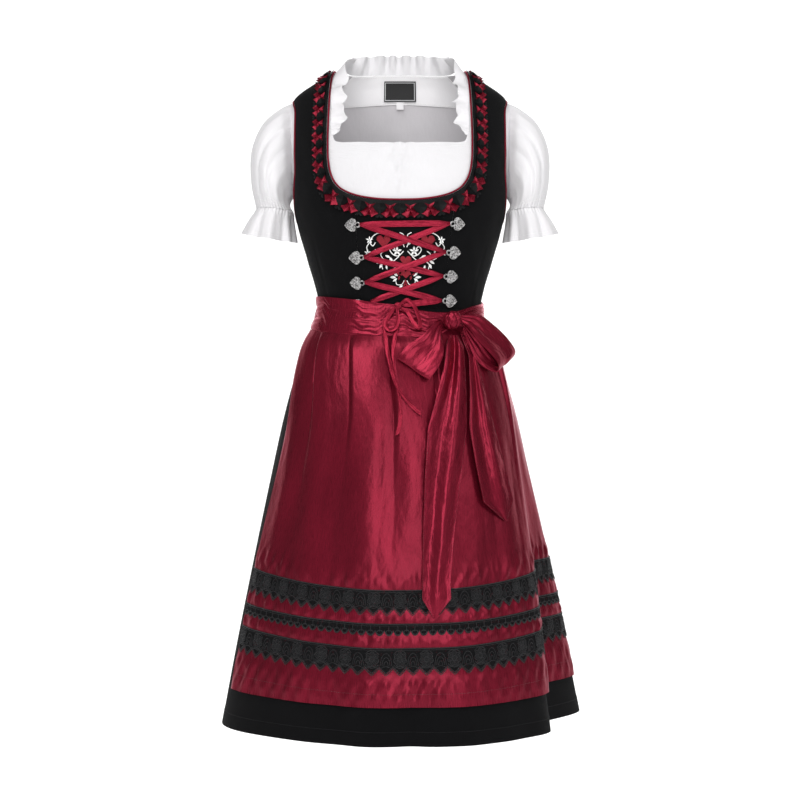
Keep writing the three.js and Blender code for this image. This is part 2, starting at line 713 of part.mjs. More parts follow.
// Cells of one half of a torso panel whose rows run from the neckline to the armhole.
function halfPanel({ side, rows, columns, neckline, armhole, edge, back, seam }) {
  const middle = back ? 180 - SEAM_ANGLE * seam.gap : 0;
  return grid(rows.length - 1, columns, (row, column) => {
    const { inner, outer, step } = rows[row];
    const outerEdge = outer < armhole.at(-1).drop ? read(armhole, "drop", outer, edge) : 90;
    const shoulder = back ? SEAM_ANGLE : -SEAM_ANGLE;
    const outerAngle = back ? Math.max(outerEdge, 90 + shoulder) : Math.min(outerEdge, 90 + shoulder);
    let innerDrop = inner;
    let innerAngle = middle;
    if (step !== undefined) {
      const place = step === "seam" ? seam.step : step;
      innerDrop = read(neckline, "step", place, "drop");
      const x = read(neckline, "step", place, "x");
      innerAngle = x < 1 ? middle : angleAt(x, innerDrop, back);
      innerAngle = back ? Math.max(innerAngle, 90 + shoulder) : Math.min(innerAngle, 90 + shoulder);
      if (step === "seam") innerAngle = seam.angleAt(innerDrop);
    } else if (seam.angleAt) {
      innerAngle = seam.angleAt(inner);
    }
    const share = column / columns;
    const drop = lerp(innerDrop, outer, share);
    return skin(side * lerp(innerAngle, outerAngle, share), drop);
  });
}

// Side of the front panel's seam at a drop, in degrees from the front middle.
function seamAngle({ top, waist }, drop, side, gap = 0) {
  const x = lerp(top, waist, clamp((drop - 205) / (WAIST_DROP - 205), 0, 1));
  return side * angleAt(x, drop) + gap;
}

function addBodice() {
  for (const [name, side] of [["left", -1], ["right", 1]]) {
    const place = PANEL_SEAMS[name];
    const seam = {
      step: place.step,
      angleAt: (drop) => seamAngle(place, drop, side, SEAM_ANGLE * 1.2),
    };
    const front = halfPanel({
      side,
      rows: FRONT_ROWS,
      columns: 5,
      neckline: NECKLINE,
      armhole: ARMHOLE,
      edge: "front",
      back: false,
      seam,
    });
    add("bodice_front_" + name, wall(front, -DRESS_CLOTH, 0), BLACK_COTTON, 0.85);
    const back = halfPanel({
      side,
      rows: BACK_ROWS,
      columns: 6,
      neckline: BACK_NECKLINE,
      armhole: ARMHOLE,
      edge: "back",
      back: true,
      seam: { gap: 1.2 },
    });
    add("bodice_back_" + name, wall(back, -DRESS_CLOTH, 0), BLACK_COTTON, 0.85);
  }
  // Shares across the front panel, with a soft pleat beside each seam that deepens to the waist.
  const across = [0, 0.1, 0.2, 0.42, 0.6, 0.8, 0.9, 1];
  const pleat = [0, 1.8, 0.1, 0, 0, 0.1, 1.8, 0];
  const down = [0, 0.12, 0.28, 0.46, 0.64, 0.82, 1];
  const panel = grid(down.length - 1, across.length - 1, (row, column) => {
    const left = seamAngle(PANEL_SEAMS.left, 225, -1, -SEAM_ANGLE * 1.2);
    const right = seamAngle(PANEL_SEAMS.right, 225, 1, -SEAM_ANGLE * 1.2);
    const neckX = Math.abs(facePoint(lerp(-left, right, across[column]), 215).x);
    let step = 7;
    while (step < 11 && read(NECKLINE, "step", step, "x") > neckX) step += 0.05;
    const drop = lerp(read(NECKLINE, "step", step, "drop"), WAIST_DROP, down[row]);
    const from = -seamAngle(PANEL_SEAMS.left, drop, -1, -SEAM_ANGLE * 1.2);
    const to = seamAngle(PANEL_SEAMS.right, drop, 1, -SEAM_ANGLE * 1.2);
    return skin(lerp(from, to, across[column]), drop, pleat[column] * down[row] ** 2);
  });
  add("bodice_panel", wall(panel, -DRESS_CLOTH, 0), BLACK_COTTON, 0.8);
}

// A corner of the blouse's back, from its side (share 0) to its middle (share 1).
function blouseBackCorner(row, share, side) {
  const { middle, side: outer } = BLOUSE_BACK_ROWS[row];
  const edge = outer > 46 && outer < 190 ? read(BLOUSE_ARMHOLE, "drop", outer, "back") : 90;
  const angle = lerp(Math.max(edge, 90 + SEAM_ANGLE), 180, share);
  return skin(side * angle, lerp(outer, middle, Math.sin((share * Math.PI) / 2)), BLOUSE_BACK_LIFT);
}

function addBlouse() {
  const halves = [-1, 1].flatMap((side) => {
    const cells = halfPanel({
      side,
      rows: BLOUSE_FRONT_ROWS,
      columns: 5,
      neckline: BLOUSE_NECKLINE,
      armhole: BLOUSE_ARMHOLE,
      edge: "front",
      back: false,
      seam: { gap: 0 },
    });
    return side < 0 ? cells.map((cell) => [...cell].reverse()) : cells;
  });
  add("blouse_front", wall(halves, BLOUSE_INNER, BLOUSE_OUTER), WHITE_COTTON, 0.9);

  const shares = (count, from) =>
    Array.from({ length: count + 1 }, (_, i) => lerp(from, 1, i / count));
  const across = shares(6, 0).slice(0, -1).map((share) => [1, share]);
  across.push(...shares(6, 0).reverse().map((share) => [-1, share]));
  const rowCount = BLOUSE_BACK_ROWS.length - 1;
  const back = grid(rowCount, across.length - 1, (row, column) =>
    blouseBackCorner(row, across[column][1], across[column][0]),
  );
  add("blouse_back", wall(back, BLOUSE_INNER, BLOUSE_OUTER), WHITE_COTTON, 0.9);
  const inner = across.filter(([, share]) => share > 0.3);
  const band = grid(2, inner.length - 1, (row, column) =>
    blouseBackCorner(row, inner[column][1], inner[column][0]),
  );
  add("neck_band", wall(band, BLOUSE_INNER - 1.4, BLOUSE_INNER - 0.4), WHITE_COTTON, 0.9);
  const sewnOn = (half, top, bottom, lift, columnCount) => {
    const cells = grid(1, columnCount, (row, column) =>
      skin(180 + lerp(-half, half, column / columnCount), row ? bottom : top, lift),
    );
    return wall(cells, 0, 0.6);
  };
  add("label", sewnOn(20.5, -8, 27, BLOUSE_INNER + BLOUSE_BACK_LIFT - 3.2, 4), BLACK_LACE, 0.7);
  add("size_tag", sewnOn(4.6, 27.5, 39, BLOUSE_INNER + BLOUSE_BACK_LIFT - 3, 1), WHITE_COTTON, 0.7);
}

// A ring round a sleeve, gathered; turn 0 is its outer point and a quarter turn is its front.
function sleevePoint(ring, turn, gathers, side) {
  const { outX, outDrop, inX, inDrop, depth, gather } = ring;
  const swell = 1 + (gather * Math.cos(turn * gathers)) / depth;
  const wide = (Math.cos(turn) * swell) / 2;
  return new THREE.Vector3(
    side * ((outX + inX) / 2 + (outX - inX) * wide),
    -depth * Math.sin(turn) * swell + 3,
    -((outDrop + inDrop) / 2 + (outDrop - inDrop) * wide),
  );
}

// The first ring of a sleeve follows the blouse's armhole.
function armholePoint(turn, side) {
  const { drop: top } = BLOUSE_ARMHOLE[0];
  const { drop: bottom } = BLOUSE_ARMHOLE.at(-1);
  const drop = lerp(top, bottom, (1 - Math.cos(turn)) / 2);
  const angle = read(BLOUSE_ARMHOLE, "drop", drop, Math.sin(turn) > 0 ? "front" : "back");
  return skin(side * angle, drop, BLOUSE_OUTER + 0.9).point;
}

function sleeveSheet(rings, columns, gathers, side, fromArmhole) {
  const count = rings.length - (fromArmhole ? 0 : 1);
  const pointAt = (row, turn) => {
    if (fromArmhole && row === 0) return armholePoint(turn, side);
    return sleevePoint(rings[row - (fromArmhole ? 1 : 0)], turn, gathers, side);
  };
  const step = (Math.PI * 2) / columns;
  return grid(
    count,
    columns,
    (row, column) => {
      const turn = step * column;
      const down = pointAt(Math.min(row + 1, count), turn);
      down.sub(pointAt(Math.max(row - 1, 0), turn));
      const round = pointAt(row, turn + step).sub(pointAt(row, turn - step));
      const normal = round.cross(down).normalize().multiplyScalar(side);
      return { point: pointAt(row, turn), normal };
    },
    true,
  );
}

function addSleeves() {
  for (const [name, side] of [["left", -1], ["right", 1]]) {
    const puff = sleeveSheet(SLEEVE_RINGS, SLEEVE_GATHERS * 2, SLEEVE_GATHERS, side, true);
    add("sleeve_" + name, wall(puff, -0.5, 0.5), WHITE_COTTON, 0.9);
    const cuff = sleeveSheet(CUFF_RINGS, SLEEVE_GATHERS * 3, SLEEVE_GATHERS, side, false);
    add("cuff_ruffle_" + name, wall(cuff, -0.5, 0.5), WHITE_COTTON, 0.9);
  }
}

function addCollar() {
  const columns = COLLAR_WAVES * 4 - 4;
  const pointAt = (row, column) => {
    const along = clamp((column / columns) * 2 - 1, -1, 1);
    const side = along < 0 ? -1 : 1;
    const at = (name) => read(COLLAR, "along", Math.abs(along), name);
    const lean = new THREE.Vector3(-side * at("inward"), -at("forward"), at("up"));
    const deeper = BLOUSE_BACK_LIFT * clamp((at("angle") - 84) / 14, 0, 1);
    const seam = skin(side * at("angle"), at("drop"), (BLOUSE_INNER + BLOUSE_OUTER) / 2 + deeper).point;
    seam.addScaledVector(lean, row * 0.49 + 0.012);
    return { seam, lean };
  };
  const cells = grid(2, columns, (row, column) => {
    const { seam, lean } = pointAt(row, column);
    const path = pointAt(row, column + 1).seam.sub(pointAt(row, column - 1).seam);
    const normal = path.cross(lean).normalize();
    const end = Math.sin((column / columns) * Math.PI) ** 0.3;
    const wave = Math.cos((column / 4) * Math.PI * 2) * [0.4, 3.2, 6][row] * end;
    return { point: seam.addScaledVector(normal, wave), normal };
  });
  add("collar_ruffle", wall(cells, -0.5, 0.5), WHITE_COTTON, 0.9);
}

// A stop on the neckline, moved along the bodice away from the opening.
function necklineStop(step, outward, lift, side) {
  const placeAt = (at) => {
    const drop = read(NECKLINE, "step", clamp(at, 0, 11), "drop");
    const x = read(NECKLINE, "step", clamp(at, 0, 11), "x");
    return { drop, angle: x < 0.5 ? 0 : angleAt(x, drop) };
  };
  const before = placeAt(step - 0.1);
  const after = placeAt(step + 0.1);
  const place = placeAt(step);
  const path = facePoint(after.angle, after.drop).sub(facePoint(before.angle, before.drop));
  const edge = skin(place.angle, place.drop);
  const away = path.normalize().cross(edge.normal).multiplyScalar(-1);
  const target = edge.point.clone().addScaledVector(away, outward);
  const angle = (Math.atan2(target.x, -target.y) * 180) / Math.PI;
  return skin(side * angle, -target.z, lift);
}

// Steps along the neckline at even shares of a unit, from the -X shoulder to the +X shoulder.
function necklineStops(count) {
  const units = [0];
  const fine = 220;
  for (let i = 1; i <= fine; i += 1) {
    const now = necklineStop((i / fine) * 11, 12, 0, 1).point;
    const last = necklineStop(((i - 1) / fine) * 11, 12, 0, 1).point;
    const pitch = read(TRIM_PITCH, "step", (i / fine) * 11, "pitch");
    units.push(units[i - 1] + now.distanceTo(last) / pitch);
  }
  const total = units[fine];
  return Array.from({ length: count + 1 }, (_, i) => {
    const share = Math.abs((i / count) * 2 - 1);
    const place = units.findIndex((value) => value >= (1 - share) * total - 1e-6);
    return { step: (place / fine) * 11, side: i * 2 < count ? -1 : 1 };
  });
}

function addNeckTrim() {
  const stops = necklineStops(TRIM_UNITS * 2);
  const band = (inner, outer, low, high) =>
    loft(
      stops.map(({ step, side }, i) => {
        const at = Math.max(step, 0.02);
        const wide = i % 2 ? 1 : 0;
        const [start, end] = [inner[wide], outer[wide]];
        return [
          necklineStop(at, start, (low[wide] + high[wide]) / 2 - 0.3, side).point,
          necklineStop(at, (start + end) / 2, high[wide], side).point,
          necklineStop(at, end, (low[wide] + high[wide]) / 2 - 0.3, side).point,
          necklineStop(at, (start + end) / 2, low[wide], side).point,
        ];
      }),
    );
  const far = 2 + TRIM_WIDTH;
  add("neck_trim_mouths", band([2, 2], [far - 1, far - 1], [0.5, 0.5], [3.4, 2]), BLACK_COTTON, 0.8);
  add("neck_trim_ruffle", band([11, 1.4], [far - 9, far], [4, 2.5], [5.2, 6.5]), BURGUNDY, 0.4);
}

// Round piping along an edge.
function piping(points) {
  const curve = new THREE.CatmullRomCurve3(points);
  const round = new THREE.Shape();
  const sides = 4;
  for (let i = 0; i < sides; i += 1) {
    const turn = (i / sides) * Math.PI * 2;
    const [x, y] = [PIPING_RADIUS * Math.cos(turn), PIPING_RADIUS * Math.sin(turn)];
    if (i === 0) round.moveTo(x, y);
    else round.lineTo(x, y);
  }
  const steps = points.length - 1;
  const geometry = new THREE.ExtrudeGeometry(round, { steps, extrudePath: curve });
  geometry.deleteAttribute("normal");
  geometry.deleteAttribute("uv");
  return facingOut(mergeVertices(geometry, 1e-3));
}

// Points of a piping beside an edge: place gives the edge's angle and drop along its length.
function besideEdge(placeAt, steps, side, towardsFirst) {
  const off = PIPING_RADIUS + 1.8;
  return steps.map((step) => {
    const [before, place, after] = [step - 0.05, step, step + 0.05].map((at) => placeAt(at));
    const path = facePoint(after.angle, after.drop).sub(facePoint(before.angle, before.drop));
    const edge = skin(place.angle, place.drop, -DRESS_CLOTH / 2);
    const away = path.normalize().cross(edge.normal).normalize().multiplyScalar(towardsFirst * off);
    edge.point.add(away);
    edge.point.x *= side;
    return edge.point;
  });
}

function addPiping() {
  const neckPlace = (at) => {
    const table = at < 0 ? BACK_NECKLINE : NECKLINE;
    const step = Math.min(Math.abs(at), table.at(-1).step);
    const x = read(table, "step", step, "x");
    const drop = read(table, "step", step, "drop");
    if (x < 0.5) return { angle: at < 0 ? 180 : 0, drop };
    return { angle: angleAt(x, drop, at < 0), drop };
  };
  const steps = [
    -5.9, -5.2, -4.4, -3.6, -2.8, -2, -1.2, -0.5, 0, 0.5, 1.2, 2, 3, 4, 5, 5.7, 6.3, 6.9, 7.5,
    8.2, 9, 10, 10.9,
  ];
  const right = besideEdge(neckPlace, steps, 1, 1);
  const left = besideEdge(neckPlace, steps, -1, 1);
  left[0].x -= right[0].x / 2;
  add("neck_piping", piping([...right, ...left.reverse()]), BURGUNDY, 0.5);

  const top = ARMHOLE[0].drop;
  const bottom = ARMHOLE.at(-1).drop;
  const armPlace = (at) => {
    const turn = Math.PI * (1 + at);
    const drop = lerp(top, bottom, (1 - Math.cos(turn)) / 2);
    return { angle: read(ARMHOLE, "drop", drop, Math.sin(turn) > 0 ? "front" : "back"), drop };
  };
  const round = Array.from({ length: 27 }, (_, i) => 0.006 + (i / 26) * 1.988);
  add("armhole_piping_left", piping(besideEdge(armPlace, round, -1, -1)), BURGUNDY, 0.5);
  add("armhole_piping_right", piping(besideEdge(armPlace, round, 1, -1)), BURGUNDY, 0.5);
}

function addSkirt() {
  const drops = [WAIST_DROP + 0.5, 396, 424, 470, 545, 650, 780, 910, HEM_DROP];
  const front = [
    -90, -80, -71, -62, -53, -43, -33, -24, -14, -5, 5, 16, 27, 38, 50, 60, 68, 75, 81, 86, 90,
  ];
  const back = [
    90, 95, 99, 103, 107, 111, 115, 120, 127, 134, 141, 148, 155, 162, 169, 176, 183, 190, 197, 204,
    211, 218, 226, 233, 240, 248, 259, 270,
  ];
  for (const [name, angles] of [["skirt_front", front], ["skirt_back", back]]) {
    const cells = grid(drops.length - 1, angles.length - 1, (row, column) => {
      const end = column === 0 ? SEAM_ANGLE : column === angles.length - 1 ? -SEAM_ANGLE : 0;
      return skin(angles[column] + end, drops[row]);
    });
    add(name, wall(cells, -DRESS_CLOTH, 0), BLACK_COTTON, 0.9);
  }
}

function sashEdge(angle, edge) {
  return read(SASH, "angle", turned(angle), edge);
}

// Angles of the apron's columns, at equal distances along its middle height.
function apronColumns() {
  const [from, to] = ["left", "right"].map((side) => read(APRON_SIDES, "drop", 860, side));
  const fine = 400;
  const lengths = [0];
  for (let i = 1; i <= fine; i += 1) {
    const now = facePoint(lerp(from, to, i / fine), 860);
    lengths.push(lengths[i - 1] + now.distanceTo(facePoint(lerp(from, to, (i - 1) / fine), 860)));
  }
  return Array.from({ length: APRON_COLUMNS + 1 }, (_, column) => {
    const length = (column / APRON_COLUMNS) * lengths[fine];
    return lengths.findIndex((value) => value >= length - 1e-6) / fine;
  });
}

function apronCorner(shares, row, column) {
  const { drop, pleat, climb } = APRON_ROWS[row];
  const [left, right] = ["left", "right"].map((side) => read(APRON_SIDES, "drop", drop, side));
  const down = clamp((drop - 424) / (977 - 424), 0, 1);
  const angle = lerp(left, right, shares[column]);
  const climbed = climb * Math.min(Math.abs(angle) / 90, 1) ** 2;
  const top = sashEdge(angle, "bottom") + 0.6;
  const height = row === 0 ? top : Math.max(drop - climbed - (424 - top) * (1 - down) ** 6, top + row * 8);
  const wave = (1 + Math.cos((column / PLEAT_COLUMNS) * Math.PI * 2)) / 2;
  const fading = 1 - 0.75 * clamp((Math.abs(angle) - 45) / 30, 0, 1);
  return skin(angle, height, APRON_LIFT + pleat * wave * fading);
}

// A point on the apron's outer face, by column and by the share of the way between two rows.
function onApron(corners, column, upper, lower, share, lift) {
  const at = Math.min(Math.floor(column), APRON_COLUMNS - 1);
  const part = column - at;
  const move = (corner) => corner.point.clone().addScaledVector(corner.normal, SATIN);
  const [a, b, c, d] = [
    corners[upper][at],
    corners[upper][at + 1],
    corners[lower][at + 1],
    corners[lower][at],
  ];
  const weights = part > share ? [1 - part, part - share, share, 0] : [1 - share, 0, part, share - part];
  const point = new THREE.Vector3();
  const normal = new THREE.Vector3();
  [a, b, c, d].forEach((corner, i) => {
    point.addScaledVector(move(corner), weights[i]);
    normal.addScaledVector(corner.normal, weights[i]);
  });
  return point.addScaledVector(normal.normalize(), lift);
}

function addApron() {
  const shares = apronColumns();
  const corners = APRON_ROWS.map((_, row) => shares.map((__, column) => apronCorner(shares, row, column)));
  const cells = grid(APRON_ROWS.length - 1, APRON_COLUMNS, (row, column) => corners[row][column]);
  add("apron_panel", wall(cells, 0, SATIN), BURGUNDY, 0.35);

  for (const { name, upper, lower, points, deep } of LACES) {
    const count = points * 2;
    const sections = [];
    const height = APRON_ROWS[lower].drop - APRON_ROWS[upper].drop;
    for (let i = 0; i <= count; i += 1) {
      const column = (i / count) * APRON_COLUMNS;
      const low = i % 2 ? 1 : 1 - deep / height;
      sections.push([
        onApron(corners, column, upper, lower, 0.02, 0.4),
        onApron(corners, column, upper, lower, 0.02, 0.4 + LACE_THICKNESS),
        onApron(corners, column, upper, lower, low, 0.8),
      ]);
    }
    add(name, loft(sections), BLACK_LACE, 0.8);
  }
}

function addSash() {
  const columns = 32;
  const cells = grid(
    SASH_WRINKLES.length - 1,
    columns,
    (row, column) => {
      const angle = -180 + (column / columns) * 360;
      const { share, raise, thick } = SASH_WRINKLES[row];
      const drop = lerp(sashEdge(angle, "top"), sashEdge(angle, "bottom"), share);
      const stand = lerp(sashEdge(angle, "lift"), 2, share ** 3) + raise;
      const ripple = thick > 2 ? 0.7 * Math.sin(angle * 0.11 + row) : 0;
      return { ...skin(angle, drop, stand), thicker: thick + ripple };
    },
    true,
  );
  add("waist_sash", wall(cells, 0, 0), BURGUNDY, 0.35);
}

function addBow() {
  const { x, drop, y, wide, high, deep } = BOW_KNOT;
  const around = 10;
  const rings = [-0.86, -0.45, 0, 0.45, 0.86].map((level, ring) =>
    Array.from({ length: around }, (_, i) => {
      const turn = (i / around) * Math.PI * 2;
      const round = Math.sqrt(1 - level * level) * (i % 2 ? 1 : 0.9);
      return new THREE.Vector3(
        x + wide * round * Math.cos(turn) + (ring - 2) * 0.8,
        y + deep * round * Math.sin(turn),
        -drop + high * level,
      );
    }),
  );
  add("bow_knot", loft(rings), BURGUNDY, 0.35);
  add("bow_loop_left", loopSheet(LEFT_LOOP.map(liftedRib), 12, 3, SATIN), BURGUNDY, 0.35);
  add("bow_loop_right", loopSheet(RIGHT_LOOP, 12, 3, SATIN), BURGUNDY, 0.35);
  add("bow_tail_long", hangingEnd(LONG_TAIL, 5, SATIN), BURGUNDY, 0.35);
  add("bow_tail_short", hangingEnd(SHORT_TAIL, 4, SATIN), BURGUNDY, 0.35);
}

// A filigree hook: a heart lying on its side with a ring at its lobes, seen from the front.
function hookShape() {
  const half = [
    [19, 0],
    [14.5, 5.6],
    [9, 9.4],
    [4.5, 9.2],
    [1.8, 6.4],
    [1.6, 3.2],
  ];
  const ring = [45, 90, 135, 180, 225, 270, 315].map((angle) => [
    -1 + 4.5 * Math.cos(degToRad(angle)),
    4.5 * Math.sin(degToRad(angle)),
  ]);
  const outline = [...half, ...ring, ...half.slice(1).reverse().map(([u, v]) => [u, -v])];
  const shape = new THREE.Shape(outline.map(([u, v]) => new THREE.Vector2(u, v)));
  const hole = [0, 60, 120, 180, 240, 300].map(
    (angle) => new THREE.Vector2(-1 + 2.6 * Math.cos(degToRad(angle)), 2.6 * Math.sin(degToRad(angle))),
  );
  shape.holes.push(new THREE.Path(hole));
  return shape;
}

function addHooks() {
  for (const { name, x, drop, outward, lift } of HOOKS) {
    const seat = frontSkin(x + outward * 9, drop, 0);
    const level = new THREE.Vector3(0, 0, 1).cross(seat.normal).normalize().multiplyScalar(outward);
    const upright = seat.normal.clone().cross(level).multiplyScalar(outward);
    const geometry = new THREE.ExtrudeGeometry(hookShape(), { depth: 1.8, bevelEnabled: false });
    geometry.deleteAttribute("normal");
    geometry.deleteAttribute("uv");
    geometry.translate(-9, 0, lift);
    const frame = new THREE.Matrix4().makeBasis(level, upright, seat.normal);
    geometry.applyMatrix4(frame.setPosition(seat.point));
    add(name, facingOut(mergeVertices(geometry, 1e-3)), SILVER, 0.35, 0.9);
  }
}

function addLacing() {
  const upright = new THREE.Vector3(0, 0, 1);
  const runs = LACING_RUNS.map(({ x, drop, lift, halfway, toX, toDrop, toLift }) => {
    const stops = [0, 0.12, 0.3, 0.5, 0.7, 0.88, 1].map((share) => {
      const end = share < 0.5 ? lift : toLift;
      const height = lerp(halfway, end, Math.abs(share * 2 - 1) ** 2);
      return { ...frontSkin(lerp(x, toX, share), lerp(drop, toDrop, share), height), side: upright };
    });
    return ribbon(stops, RIBBON_WIDTH, RIBBON_THICKNESS);
  });
  add("lacing", joined(runs), BURGUNDY, 0.4);

  const loops = LACING_LOOPS.map((stops) =>
    ribbon(sided(stops.map(({ x, drop, lift }) => frontSkin(x, drop, lift))), 7, RIBBON_THICKNESS),
  );
  const seat = frontSkin(LACING_KNOT.x, LACING_KNOT.drop + 1, 9);
  const knot = new THREE.SphereGeometry(6, 8, 5);
  knot.deleteAttribute("normal");
  knot.deleteAttribute("uv");
  knot.scale(1, 0.55, 0.9).translate(seat.point.x, seat.point.y, seat.point.z);
  add("lacing_bow", joined([...loops, knot]), BURGUNDY, 0.4);

  for (const [name, stops] of Object.entries(LACING_TAILS)) {
    const path = sided(stops.map(({ x, drop, lift }) => frontSkin(x, drop, lift)));
    add(name, ribbon(path, RIBBON_WIDTH, RIBBON_THICKNESS), BURGUNDY, 0.4);
  }
}

addBlouse();
addSleeves();
addCollar();
addBodice();
addNeckTrim();
addPiping();
addHooks();
addSkirt();
addApron();
addSash();
addBow();
addLacing();

export default group;
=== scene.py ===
"""A dirndl set, filled out as if worn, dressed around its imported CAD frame.

The cloth's own measures are millimetres, as on a pattern sheet; a mesh is made in metres. Heights
are drops below the shoulder tops, angles turn about the middle line from the front middle towards
the side of the apron's bow, and a lift is a distance off the dress's outer face.
"""

import json
import logging
import math
from collections.abc import Sequence
from dataclasses import dataclass, field
from enum import Enum
from functools import partial

import bpy
import numpy as np
from mathutils import Matrix


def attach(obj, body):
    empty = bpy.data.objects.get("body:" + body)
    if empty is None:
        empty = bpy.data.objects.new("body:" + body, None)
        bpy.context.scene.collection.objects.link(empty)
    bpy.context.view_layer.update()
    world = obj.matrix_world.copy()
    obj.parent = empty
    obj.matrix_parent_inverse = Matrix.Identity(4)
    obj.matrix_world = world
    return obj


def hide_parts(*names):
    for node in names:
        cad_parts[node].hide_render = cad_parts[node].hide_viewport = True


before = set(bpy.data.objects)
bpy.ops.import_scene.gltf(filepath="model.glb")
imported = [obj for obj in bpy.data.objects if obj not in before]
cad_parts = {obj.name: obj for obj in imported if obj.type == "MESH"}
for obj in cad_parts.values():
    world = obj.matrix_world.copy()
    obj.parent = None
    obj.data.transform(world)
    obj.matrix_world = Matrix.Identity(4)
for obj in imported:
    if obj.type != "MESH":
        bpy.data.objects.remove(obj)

log = logging.getLogger("dirndl")
MM = 0.001
WAIST_DROP = 378.0
HEM_DROP = 1035.0
Points = np.ndarray


class Slot(Enum):
    """The record's material slots."""

    COTTON = "black_cotton"
    SATIN = "burgundy_satin"
    LACING = "lacing_satin"
    WHITE = "white_cotton"
    LACE = "black_lace"
    LABEL = "black_label"
    SILVER = "filigree_silver"


class Held(Enum):
    """How a sheet of cloth is held."""

    HUNG = "hung"
    GATHERED = "gathered"
    STRETCHED = "stretched"
    FOLDED = "folded"


class Coordinates(Enum):
    """What a finish's pattern follows: the cloth's own thread, or its place on the object."""

    THREAD = "thread"
    PLACE = "place"


# Shapes


def mix(start: Points | float, end: Points | float, share: Points | float) -> Points:
    """Value between start and end."""
    return start + (end - start) * share


def unit(vectors: Points) -> Points:
    """Vectors at length one."""
    length = np.linalg.norm(vectors, axis=-1, keepdims=True)
    return vectors / np.maximum(length, 1e-9)


def hump(at: Points, middle: float, width: float) -> Points:
    """A soft bump of height one at middle."""
    return np.exp(-(((np.asarray(at, float) - middle) / width) ** 2))


def soft_step(at: Points, start: float, end: float) -> Points:
    """Rises smoothly from 0 at start to 1 at end."""
    share = np.clip((np.asarray(at, float) - start) / (end - start), 0, 1)
    return share * share * (3 - 2 * share)


def dense_ends(count: int) -> Points:
    """Shares from 0 to 1 that lie closer together near both ends."""
    return (1 - np.cos(np.linspace(0, math.pi, count + 1))) / 2


@dataclass(frozen=True)
class Chart:
    """A short table with named columns, read along smooth curves."""

    columns: tuple[str, ...]
    rows: tuple[tuple[float, ...], ...]

    def column(self, name: str) -> Points:
        """All values of a column."""
        return np.array([row[self.columns.index(name)] for row in self.rows], float)

    def read(self, name: str, at: Points | float) -> Points:
        """Values of a column at places along the first column.

        Args:
            name: the column to read.
            at: places along the first column.

        Returns:
            The values, held at the table's ends.
        """
        keys, values = self.column(self.columns[0]), self.column(name)
        at = np.asarray(at, float)
        last = len(keys) - 1
        row = np.minimum(np.searchsorted(keys[1:last], at, side="left"), last - 1)
        low, high = np.maximum(np.arange(last + 1) - 1, 0), np.minimum(np.arange(last + 1) + 1, last)
        slope = (values[high] - values[low]) / (keys[high] - keys[low])
        span = keys[row + 1] - keys[row]
        share = np.clip((at - keys[row]) / span, 0, 1)
        square, cube = share**2, share**3
        return (
            (2 * cube - 3 * square + 1) * values[row] + (cube - 2 * square + share) * span * slope[row]
            + (3 * square - 2 * cube) * values[row + 1] + (cube - square) * span * slope[row + 1]
        )


